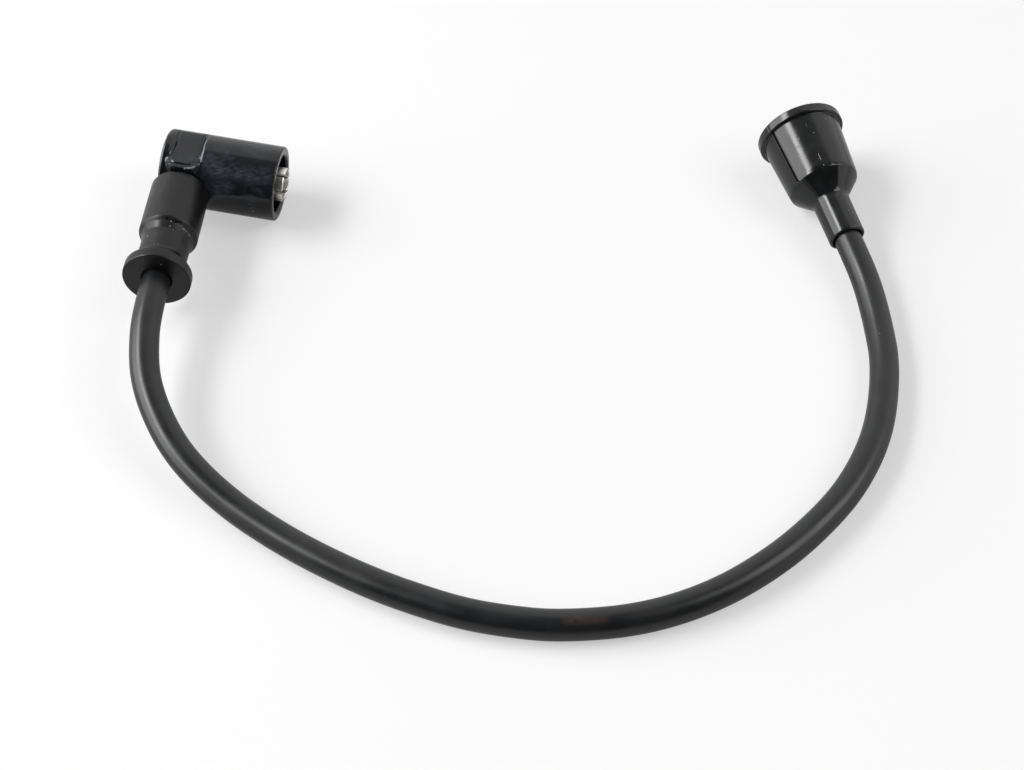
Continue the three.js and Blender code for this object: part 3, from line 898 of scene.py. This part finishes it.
@dataclass
class Connector:
    """Hard right-angle connector: housing, closing cap and slotted contact."""

    place: Placement = Placement((-81.1, 11.9, 11.467), -8.7, 4.4, -3.2)
    gap: float = 0.3
    mouth_radius: float = 9.6
    mouth_reach: float = 24.7
    mouth_bore: float = 7.4
    lip_round: float = 0.45
    lip_chamfer: float = 0.5
    back: float = -5.0
    back_round: float = 0.8
    cap_radius: float = 6.2
    cap_thickness: float = 1.3
    groove: tuple[float, ...] = (3.7, 3.9, 4.4, 4.6)
    groove_depth: float = 0.2
    nub: float = 0.9
    partition: tuple[float, float] = (3.5, 6.5)
    chamber: float = 4.4
    arm_radius: float = 6.0
    arm_end: float = 24.8
    arm_angle: float = 85.0
    narrow_bore: float = 2.8
    wide_bore: float = 5.2
    shelf: float = 15.4
    pad_height: float = 8.2
    pad_ends: tuple[float, float] = (-3.5, 5.5)
    pad_near: float = 8.6
    pad_corner: float = 3.4
    pad_bevel: tuple[float, float] = (1.3, 1.1)
    face_rise: float = 0.3
    face_bevel: tuple[float, float] = (1.2, 1.7)
    edge: float = 0.3
    inset_round: float = 1.5
    low_cosine: float = 0.05
    corner_near: float = 8.6
    calm_start: float = 7.0
    row_length: float = 0.24
    barrel_sides: int = 288
    bore_sides: int = 96
    hole_sides: int = 64
    contact_sides: int = 144
    beyond: tuple[float, float] = (20.0, 30.0)
    stem: float = 2.0
    stem_tail: float = 2.6
    collar: float = 5.0
    collar_thickness: float = 1.2
    socket: float = 4.4
    socket_bore: float = 3.45
    socket_floor: float = 11.5
    overhang: float = 1.3
    slots: int = 6
    slot_width: float = 0.9
    slot_start: float = 13.5
    slot_turn: float = 17.0
    ring_wire: float = 0.45
    ring_station: float = 18.5
    ring_gap: float = 40.0
    surface_marks: SurfaceMarks = SurfaceMarks(
        pale=(
            # Painted highlights: the first trail runs along the pad's edge, the second along the back
            # end's rounded edge.
            *trail(0.32, (4.9, 3.1, 8.9), (5.4, -2.0, 9.4), (5.5, -5.2, 8.25), (5.1, -6.8, 8.1),
                   (3.9, -8.0, 8.05), (2.2, -8.5, 8.0)),
            *trail(0.2, (-4.7, 0.0, 9.42), (-4.7, -2.6, 9.06), (-4.7, -5.0, 7.99), (-4.7, -7.0, 6.3)),
            # The first mark here, beside the pad's left wall, is a painted highlight; the marks after
            # it are dust.
            Mark((-2.9, -0.6, 8.5), 0.14, (-2.5, -7.0, 8.3)), Mark((19.0, -9.6, 0.36), 0.2),
            Mark((19.7, -9.4, -1.9), 0.3), Mark((19.4, -9.57, -0.8), 0.18),
        ),
        # Painted shade: the dark line beside the pad's left wall.
        dark=(Mark((-2.2, 0.4, 8.2), 0.34, (-1.6, -5.3, 8.2)),),
        blurred=(
            Mark((8.2, -5.3, 8.0), 5.2), Mark((9.0, -6.5, 7.0), 3.6, (22.0, -6.0, 7.5)),
            Mark((9.5, -9.2, 2.8), 3.4, (13.0, -8.6, 4.2)),
        ),
    )

    def padded(self, station: Array, radius: Array, angle: Array) -> Grids:
        """Gives the barrel's outside its flat pad.

        Over the pad a ray at angle a from the top leaves the form at the smaller of
        height / cos a, the flat, and the larger of the barrel's radius and near / sin a, the
        pad's wall. The wall is pulled in round both corners, and the pad fades into the barrel
        over a bevel at either end. Inner walls stay as they are.
        """
        start, end = self.pad_ends
        before, after, fillet = station - start, end - station, self.pad_corner
        ahead = np.minimum(before, after)
        near = self.pad_near - fillet
        near = near + np.sqrt(fillet ** 2 - np.clip(fillet - ahead, 0, fillet) ** 2)
        cosine, sine = np.cos(angle), np.sin(angle)
        upward, outward = np.maximum(cosine, self.low_cosine), np.maximum(sine, self.low_cosine)
        inset = smaller(ahead, near - self.pad_height * sine / upward, self.inset_round)
        flat = (self.pad_height + self.face_rise * smooth_step(inset, *self.face_bevel)) / upward
        wall = np.where(sine > self.low_cosine, near / outward, 0.0)
        pad = smaller(flat, larger(np.full_like(wall, self.mouth_radius), wall, self.edge), self.edge)
        rise = np.clip(before / self.pad_bevel[0], 0, 1) * np.clip(after / self.pad_bevel[1], 0, 1)
        changed = radius + (pad - self.mouth_radius) * rise * radius / self.mouth_radius
        outside = (radius > self.mouth_bore + 2 * self.gap) & (station > self.back)
        return station, np.where(outside & (cosine > self.low_cosine), changed, radius)

    def arm_axes(self) -> Placement:
        """The arm's axes: the connector's, turned by the angle between mouth and arm."""
        return replace(self.place, turn=-self.arm_angle)

    def housing(self) -> Piece:
        """The housing: padded barrel with its bores, and the arm with its two bores."""
        seat, seat_end = self.cap_radius + self.gap, self.back + self.cap_thickness + self.gap
        reach, bore, hole = self.mouth_reach, self.mouth_bore, self.stem + self.gap
        outline = rounded([
            (self.back, seat, 0.15), (self.back, self.mouth_radius, self.back_round),
            (reach, self.mouth_radius, self.lip_round), (reach, bore + self.lip_chamfer, SLIGHT),
            (reach - self.lip_chamfer, bore, SLIGHT), (self.partition[1], bore, SOFT),
            (self.partition[1], hole, CRISP), (self.partition[0], hole, CRISP),
            (self.partition[0], self.chamber, SLIGHT), (seat_end, self.chamber, CRISP),
            (seat_end, seat, CRISP),
        ])
        dense = subdivided(outline, self.row_length)
        calm = dense[:, 0] > self.calm_start
        spare = np.arange(len(dense)) % 4 > 0
        straight = np.isclose(dense[:, 1:], [self.mouth_radius, bore], rtol=0, atol=1e-6).any(axis=1)
        dense = dense[~(calm & spare & straight)]
        barrel = turned("connector_housing", dense, self.place, self.barrel_sides, self.padded)
        arm_place, back, (far, aside) = self.arm_axes(), self.back, self.beyond
        arm = bar("arm", 0.0, self.arm_end, self.arm_radius, BROAD, arm_place)
        behind = block("behind", (back - far, -self.corner_near, -far), (back, aside, far), self.place)
        sides = self.bore_sides
        chamber = bar("room", back + 0.5, self.partition[0], self.chamber, 0.0, self.place, sides)
        hollow = bar("mouth", self.partition[1], reach + 1, bore, 0.0, self.place, sides)
        arm = combined(arm, [behind, chamber, hollow], Cut.TAKE)
        body = combined(barrel, [arm], Cut.ADD)
        narrow = bar("narrow", 0.0, self.shelf + 1, self.narrow_bore, 0.0, arm_place, self.hole_sides)
        wide = bar("wide", self.shelf, self.arm_end + 1, self.wide_bore, 0.0, arm_place, sides)
        return combined(body, [narrow, wide], Cut.TAKE)

    def closing_cap(self) -> Piece:
        """The disc in the back end, with a shallow ring groove and the nub where it was gated."""
        back, front, radius = self.back, self.back + self.cap_thickness, self.cap_radius
        floor, groove = back + self.groove_depth, self.groove
        outline = rounded([
            (front, 0.0, 0.0), (front, radius, 0.25), (back, radius, SOFT), (back, groove[3], CRISP),
            (floor, groove[2], CRISP), (floor, groove[1], CRISP), (back, groove[0], CRISP),
            (back, self.nub, CRISP), (back, 0.0, 0.0),
        ])
        return turned("closing_cap", outline, self.place, pole=True)

    def contact(self) -> Piece:
        """The slotted contact with rounded prongs, its collar and its stem."""
        front = self.mouth_reach + self.overhang
        start = self.partition[1] + self.gap
        end = start + self.collar_thickness
        tail = -self.stem_tail
        outline = rounded([
            (tail, 0.0, 0.0), (tail, self.stem, BROAD),
            (start, self.stem, CRISP), (start, self.collar, SLIGHT),
            (end, self.collar, SLIGHT), (end, self.socket, 0.15), (front, self.socket, 0.32),
            (front, self.socket_bore, 0.32), (self.socket_floor, self.socket_bore, BROAD),
            (self.socket_floor, 0.0, 0.0),
        ], COARSE_STEP)
        body = turned("slotted_contact", outline, self.place, self.contact_sides, pole=True)
        ends = (self.slot_start, front + 1)
        width, turn = self.slot_width, self.slot_turn
        return split(body, self.slots, width, ends, self.socket + 1, turn, self.place)

    def spring_ring(self) -> Piece:
        """The open wire ring round the prongs."""
        radius, wire = self.socket + self.gap + self.ring_wire, self.ring_wire
        return open_ring("contact_ring", self.ring_station, radius, wire, self.ring_gap, self.place)

    def build(self, finishes: Finishes) -> list[Piece]:
        """Makes and dresses every piece of the connector."""
        return [
            dress(self.housing(), finishes, Look.PLASTIC, "elbow_housing"),
            dress(self.closing_cap(), finishes, Look.PLASTIC, "rear_cap"),
            dress(self.contact(), finishes, Look.NICKEL, "contact_socket"),
            dress(self.spring_ring(), finishes, Look.STEEL, "socket_ring"),
        ]


@dataclass
class ArmBoot:
    """Rubber boot over the connector's arm: sleeve, step, waist and flange."""

    connector: Connector
    top: float = 8.7
    sleeve: float = 7.3
    sleeve_edge: float = 0.8
    step: float = 25.3
    step_drop: float = 0.8
    step_length: float = 0.9
    waist_start: float = 28.0
    waist_end: float = 34.9
    waist: float = 5.95
    flange: float = 8.35
    flange_back: float = 37.7
    flange_face: float = 40.4
    cable_bore: float = 3.7
    sides: int = 192
    step_rounds: tuple[float, float] = (0.8, 0.5)
    waist_rounds: tuple[float, float] = (1.5, 2.2)
    waist_taper: float = 0.05
    saddle_side: tuple[float, float] = (-6.0, -4.0)
    saddle_fade: tuple[float, float] = (1.0, 6.0)
    saddle_round: float = 0.5
    lean: float = 0.09
    surface_marks: SurfaceMarks = SurfaceMarks(
        pale=(
            Mark((30.4, -3.8, 4.65), 0.28), Mark((33.9, -1.4, 5.8), 0.16),
            Mark((33.9, -0.4, 5.95), 0.14), Mark((27.5, 1.3, 6.0), 0.22),
            Mark((28.2, 2.2, 5.6), 0.16), Mark((40.4, 1.5, 5.5), 0.22), Mark((26.2, 1.3, 6.4), 0.26),
            Mark((26.7, 4.2, 4.8), 0.24, (26.8, 5.8, 2.5)),
        ),
        dark=(Mark((25.8, 0.2, 6.9), 0.4), Mark((26.1, 2.4, 6.2), 0.36, (25.9, 2.8, 6.1))),
        blurred=(Mark((25.6, 4.5, 5.4), 1.3), Mark((36.5, -5.2, 4.4), 1.6)),
    )

    def place(self) -> Placement:
        """The arm's axes."""
        return self.connector.arm_axes()

    def saddled(self, station: Array, radius: Array, angle: Array) -> Grids:
        """Shapes the sleeve's edge to the barrel.

        A point of the edge at height h above the arm's axis meets the barrel, grown by the gap,
        at station sqrt(R^2 - h^2), less a lean for the angle between the two. Only the side under
        the barrel reaches it, and the shift fades out along the sleeve.
        """
        c = self.connector
        height, towards = radius * np.cos(angle), -radius * np.sin(angle)
        grown = c.mouth_radius + c.gap
        meets = np.sqrt(np.clip(grown ** 2 - height ** 2, 1.0, None)) - self.lean * towards
        shift = np.clip(larger(meets - self.top, np.zeros_like(meets), self.saddle_round), 0, None)
        fade = 1.0 - smooth_step(station - self.top, *self.saddle_fade)
        return station + shift * smooth_step(towards, *self.saddle_side) * fade, radius

    def build(self, finishes: Finishes) -> list[Piece]:
        """Makes and dresses the boot."""
        c = self.connector
        bore = c.arm_radius + c.gap
        inner = c.arm_end + c.gap
        outline = rounded([
            (self.top, bore, CRISP), (self.top, self.sleeve, self.sleeve_edge),
            (self.step, self.sleeve, self.step_rounds[0]),
            (self.step + self.step_length, self.sleeve - self.step_drop, self.step_rounds[1]),
            (self.waist_start, self.waist + self.waist_taper, self.waist_rounds[0]),
            (self.waist_end, self.waist, self.waist_rounds[1]),
            (self.flange_back, self.flange, 0.5), (self.flange_face, self.flange, BROAD),
            (self.flange_face, self.cable_bore, 0.25), (inner, self.cable_bore, 0.0),
            (inner, bore, 0.0),
        ])
        dense = subdivided(outline, ROW_LENGTH)
        piece = turned("arm_boot", dense, self.place(), self.sides, self.saddled)
        return [dress(piece, finishes, Look.MATT, "elbow_boot")]


@dataclass
class StraightBoot:
    """Straight rubber boot with a wide cup, and the terminal inside it."""

    neck_end: tuple[float, float] = (87.5, -8.2)
    heading: float = 105.7
    neck: float = 4.6
    neck_length: float = 11.8
    neck_edge: float = 0.5
    cone_start: float = 12.7
    cone_start_radius: float = 5.3
    shoulder: float = 16.8
    shoulder_radius: float = 8.95
    body_start: float = 17.7
    body_start_radius: float = 9.15
    body_end_radius: float = 10.25
    rest_station: float = 32.5
    rim_station: float = 33.15
    rim: float = 11.3
    mouth: float = 35.5
    rim_edge: float = 0.35
    cup: float = 7.7
    cup_mouth: float = 7.9
    cup_station: float = 19.0
    pocket: float = 5.3
    pocket_station: float = 14.8
    cable_bore: float = 3.85
    part_angles: tuple[float, float] = (-61.5, 118.5)
    part_depth: float = 0.05
    part_width: float = 0.2
    crimp_start: float = 15.3
    crimp_end: float = 22.9
    crimp_radius: float = 4.25
    crimp_bore: float = 3.8
    web: float = 0.5
    seam: float = 1.9
    link: float = 1.5
    link_length: float = 1.0
    snap: float = 3.0
    snap_wall: float = 0.5
    snap_length: float = 4.1
    snap_slots: int = 4
    snap_slot: float = 0.7
    snap_turn: float = 45.0
    sides: int = 360
    neck_round: float = 1.6
    clip_share: float = 0.6
    clip_clearance: float = 0.3
    clip_wire: float = 0.35
    clip_gap: float = 50.0
    surface_marks: SurfaceMarks = SurfaceMarks(
        pale=(
            Mark((27.1, 4.85, 8.6), 0.22), Mark((27.2, 0.9, 9.8), 0.16), Mark((20.2, 1.9, 9.15), 0.16),
            Mark((19.6, 2.2, 9.0), 0.13), Mark((17.4, 1.65, 8.9), 0.18), Mark((31.2, -4.0, 9.35), 0.16),
            # The three thin strokes at local y 1.9 are a painted highlight along a fine mould ridge;
            # the other pale marks are dust.
            Mark((5.5, -1.45, 4.42), 0.18), Mark((30.3, 1.95, 9.9), 0.06, (28.4, 1.93, 9.8)),
            Mark((24.0, 1.9, 9.5), 0.06, (22.6, 1.88, 9.4)),
            Mark((21.0, 1.88, 9.2), 0.07, (19.0, 1.86, 9.05)),
        ),
        # Painted shade: the dark line lies in the parting groove at part_angles[0].
        dark=(Mark((33.0, 9.0, 4.9), 0.42, (17.3, 7.95, 4.3)),),
        blurred=(Mark((25.1, 5.6, 7.9), 0.7), Mark((24.0, 4.9, 8.3), 0.5)),
    )

    def place(self) -> Placement:
        """The boot's axes: it lies on the rim's back edge and on the shoulder."""
        run = self.rest_station + self.rim_edge - self.body_start
        tilt = math.atan2(self.rim - self.body_start_radius, run)
        height = self.body_start_radius * math.cos(tilt) - self.body_start * math.sin(tilt)
        return Placement((*self.neck_end, height), self.heading, -math.degrees(tilt))

    def parted(self, station: Array, radius: Array, angle: Array) -> Grids:
        """Cuts the mould's two parting lines into the outside of cone and body.

        A line is part_depth * exp(-(d / part_width)^2) deep, where d is the distance round the
        boot from the line, in millimetres, and it fades out along the cone.
        """
        cup = (station > self.cup_station - 0.1) & (radius < self.cup_mouth + 0.5)
        outside = (radius > self.pocket + 0.2) & ~cup
        groove = np.zeros_like(radius)
        for line in self.part_angles:
            away = (angle - math.radians(line) + math.pi) % (2 * math.pi) - math.pi
            groove += self.part_depth * np.exp(-(away * radius / self.part_width) ** 2)
        along = smooth_step(station, self.cone_start, self.shoulder)
        return station, radius - np.where(outside, groove * along, 0.0)

    def boot(self) -> Piece:
        """The boot: neck, cone, body and rim outside; cup, pocket and cable bore inside."""
        mouth = self.mouth
        outline = rounded([
            (0.0, self.cable_bore + 0.1, CRISP), (0.0, self.neck, self.neck_edge),
            (self.neck_length, self.neck + 0.1, self.neck_round),
            (self.cone_start, self.cone_start_radius, BROAD),
            (self.shoulder, self.shoulder_radius, 0.5),
            (self.body_start, self.body_start_radius, 0.6),
            (self.rim_station - 0.2, self.body_end_radius, SOFT),
            (self.rim_station, self.rim, self.rim_edge),
            (mouth, self.rim, self.rim_edge), (mouth, self.cup_mouth + 0.4, SLIGHT),
            (mouth - 0.4, self.cup_mouth, SLIGHT), (self.cup_station, self.cup, 0.5),
            (self.cup_station, self.pocket, SLIGHT), (self.pocket_station, self.pocket, SOFT),
            (self.pocket_station, self.cable_bore, CRISP), (self.neck_edge, self.cable_bore, CRISP),
        ])
        dense = subdivided(outline, ROW_LENGTH)
        return turned("straight_boot", dense, self.place(), self.sides, self.parted)

    def terminal(self) -> Piece:
        """The folded terminal: crimp with its seam, a link and the split snap socket."""
        socket = self.crimp_end + self.web + self.link_length
        front = socket + self.snap_length
        bore = self.snap - self.snap_wall
        start, end, radius = self.crimp_start, self.crimp_end, self.crimp_radius
        outline = rounded([
            (end, 0.0, 0.0), (end, self.crimp_bore, SOFT), (start, self.crimp_bore, CRISP),
            (start, radius, CRISP), (end + self.web, radius, 0.35),
            (end + self.web, self.link, SOFT), (socket, self.link, SOFT), (socket, self.snap, BROAD),
            (front, self.snap, SLIGHT), (front, bore, SLIGHT), (socket + self.snap_wall, bore, SOFT),
            (socket + self.snap_wall, 0.0, 0.0),
        ], COARSE_STEP)
        body = turned("snap_terminal", outline, self.place(), pole=True)
        low, high = (start - 1, -self.seam / 2, 0), (end, self.seam / 2, 2 * radius)
        body = combined(body, [block("seam", low, high, self.place(), 90.0)], Cut.TAKE)
        ends, turn = (socket + 2 * self.snap_wall, front + 1), self.snap_turn
        return split(body, self.snap_slots, self.snap_slot, ends, self.snap + 1, turn, self.place())

    def clip(self) -> Piece:
        """The open wire clip round the snap socket."""
        station = self.crimp_end + self.web + self.link_length + self.clip_share * self.snap_length
        radius = self.snap + self.clip_clearance + self.clip_wire
        return open_ring("snap_clip", station, radius, self.clip_wire, self.clip_gap, self.place())

    def build(self, finishes: Finishes) -> list[Piece]:
        """Makes and dresses the boot, its terminal and the clip."""
        return [
            dress(self.boot(), finishes, Look.SATIN, "tower_boot"),
            dress(self.terminal(), finishes, Look.BRASS, "tower_terminal"),
            dress(self.clip(), finishes, Look.STEEL, "terminal_clip"),
        ]


INNER_NODES = {
    Look.STEEL: ("contact_spring",),
    Look.BRASS: ("resistor_front_cap", "resistor_rear_cap", "elbow_crimp_terminal"),
    Look.CERAMIC: ("resistor_rod",),
    Look.CORE: ("elbow_core_tail", "tower_core_tail"),
}


# The studio


@dataclass(frozen=True)
class Softbox:
    """A square lamp that looks at the middle of the lead.

    Azimuth is counted from +x towards +y, and level is the light that the lamp's face sends out,
    where 1 is the white of the background.
    """

    name: str
    azimuth: float
    elevation: float
    distance: float
    size: tuple[float, float]
    level: float

    def build(self) -> Piece:
        """Makes the lamp; a face of area A that sends out level L has the power pi A L."""
        lamp = bpy.data.lights.new(self.name, "AREA")
        lamp.shape = "RECTANGLE"
        lamp.size, lamp.size_y = self.size
        lamp.energy = math.pi * self.size[0] * self.size[1] * self.level
        holder = added(self.name, lamp)
        a, e = math.radians(self.azimuth), math.radians(self.elevation)
        away = np.array([math.cos(e) * math.cos(a), math.cos(e) * math.sin(a), math.sin(e)])
        holder.location = away * self.distance
        holder.rotation_euler = (math.pi / 2 - e, 0.0, a + math.pi / 2)
        return holder


def paper(
    name: str, points: list[Corner], faces: list[tuple[int, ...]], p: Pattern, colour: str
) -> Piece:
    """A dull sheet that belongs to the studio, between the points, in metres."""
    mesh = bpy.data.meshes.new(name)
    mesh.from_pydata(points, [], faces)
    mesh.materials.append(p.finish(colour, PAPER_ROUGHNESS))
    sheet = added(name, mesh)
    return sheet


@dataclass(frozen=True)
class Studio:
    """Pale floor, three soft lamps, a pale surround and a dark card behind the camera."""

    floor_side: float = 9.0
    floor_colour: str = "#b4b4b4"
    floor_lift: float = 0.46
    mirrored_lift: float = 0.35
    surround: float = 0.25
    card_colour: str = "#050505"
    card_side: float = 2.4
    card_rows: tuple[tuple[float, float], ...] = ((-2.6, 0.05), (0.12, 2.2), (1.05, 2.2))
    card_fade: tuple[float, float] = (-0.6, 1.0)
    card_glow: tuple[float, float] = (0.07, 0.4)
    lamps: tuple[Softbox, ...] = (
        Softbox("left_softbox", 179.5, 30.0, 1.5, (1.5, 1.5), 3.2),
        Softbox("left_core", 170.0, 46.0, 1.45, (1.25, 0.3), 9.0),
        Softbox("right_softbox", -8.0, 46.0, 1.0, (0.5, 0.6), 3.0),
    )

    def floor(self) -> Piece:
        """The floor: pale and dull, lifted to white where it is seen, with the lead's shadow."""
        half = self.floor_side / 2
        corners = [(-half, -half, 0.0), (half, -half, 0.0), (half, half, 0.0), (-half, half, 0.0)]
        p = Pattern("floor_paper", dict(UNLIT))
        inputs: Inputs = {0: p.seen(self.mirrored_lift), 1: self.floor_lift}
        p.feed(p.shader, {"Emission Strength": p.add("Math", inputs, operation="MULTIPLY")[0]})
        return paper("floor", corners, [(0, 1, 2, 3)], p, self.floor_colour)

    def world(self) -> None:
        """Pale surround: white where it is seen, and weaker as a light on dull surfaces."""
        world = bpy.data.worlds.new("surround")
        nodes = Nodes(world)
        inputs: Inputs = {0: nodes.seen(), 1: 1 - self.surround, 2: self.surround}
        level = nodes.add("Math", inputs, operation="MULTIPLY_ADD", use_clamp=True)[0]
        sky = nodes.add("Background", {"Color": WHITE, "Strength": level})[0]
        nodes.add("OutputWorld", {"Surface": sky})
        bpy.context.scene.world = world

    def dark_card(self) -> Piece:
        """The card that black glossy things mirror: it leans over the camera, seen only in them."""
        points = [(x, y, z) for y, z in self.card_rows for x in (-self.card_side, self.card_side)]
        p = Pattern("black_card", dict(UNLIT))
        across = p.add("SeparateXYZ", {0: p.place})["Y"]
        inputs: Inputs = {"Value": across, **dict(enumerate((*self.card_fade, *self.card_glow), 1))}
        glow = p.add("MapRange", inputs, interpolation_type="SMOOTHSTEP")[0]
        p.feed(p.shader, {"Emission Strength": glow})
        card = paper("dark_card", points, [(0, 1, 3, 2), (2, 3, 5, 4)], p, self.card_colour)
        card.visible_camera = card.visible_diffuse = False
        card.visible_shadow = card.visible_transmission = False
        return card

    def build(self) -> None:
        """Sets up the whole studio."""
        self.floor()
        self.world()
        self.dark_card()
        for lamp in self.lamps:
            lamp.build()
        bpy.context.scene.view_settings.view_transform = "Standard"


@dataclass(frozen=True)
class Viewpoint:
    """The camera: it looks along +y and steeply down, from a good arm's length."""

    location: Corner = (0.0027, -0.3124, 0.3296)
    pitch: float = 51.5
    lens: float = 61.52
    sensor: float = 36.0
    reach: tuple[float, float] = (0.01, 20.0)

    def build(self) -> Piece:
        """Makes the camera the scene's own."""
        camera = bpy.data.cameras.new("viewpoint")
        camera.lens, camera.sensor_width, camera.sensor_fit = self.lens, self.sensor, "HORIZONTAL"
        camera.clip_start, camera.clip_end = self.reach
        holder = added("viewpoint", camera)
        holder.location = self.location
        holder.rotation_euler = (math.radians(90.0 - self.pitch), 0.0, 0.0)
        bpy.context.scene.camera = holder
        return holder


def main() -> None:
    """Builds the camera, the lead and the studio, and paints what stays."""
    logging.basicConfig(level=logging.INFO, format="%(name)s %(message)s")
    Viewpoint().build()
    cable, connector, straight = Cable(), Connector(), StraightBoot()
    arm = ArmBoot(connector)
    finishes = made_finishes(cable, connector, arm, straight)
    for part in (cable, connector, arm, straight):
        for piece in part.build(finishes):
            LOG.info("%s: %d faces", piece.name, len(piece.data.polygons))
    for look, names in INNER_NODES.items():
        for name in names:
            paint(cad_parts[name], finishes, look)
    Studio().build()


if __name__ == "__main__":
    main()
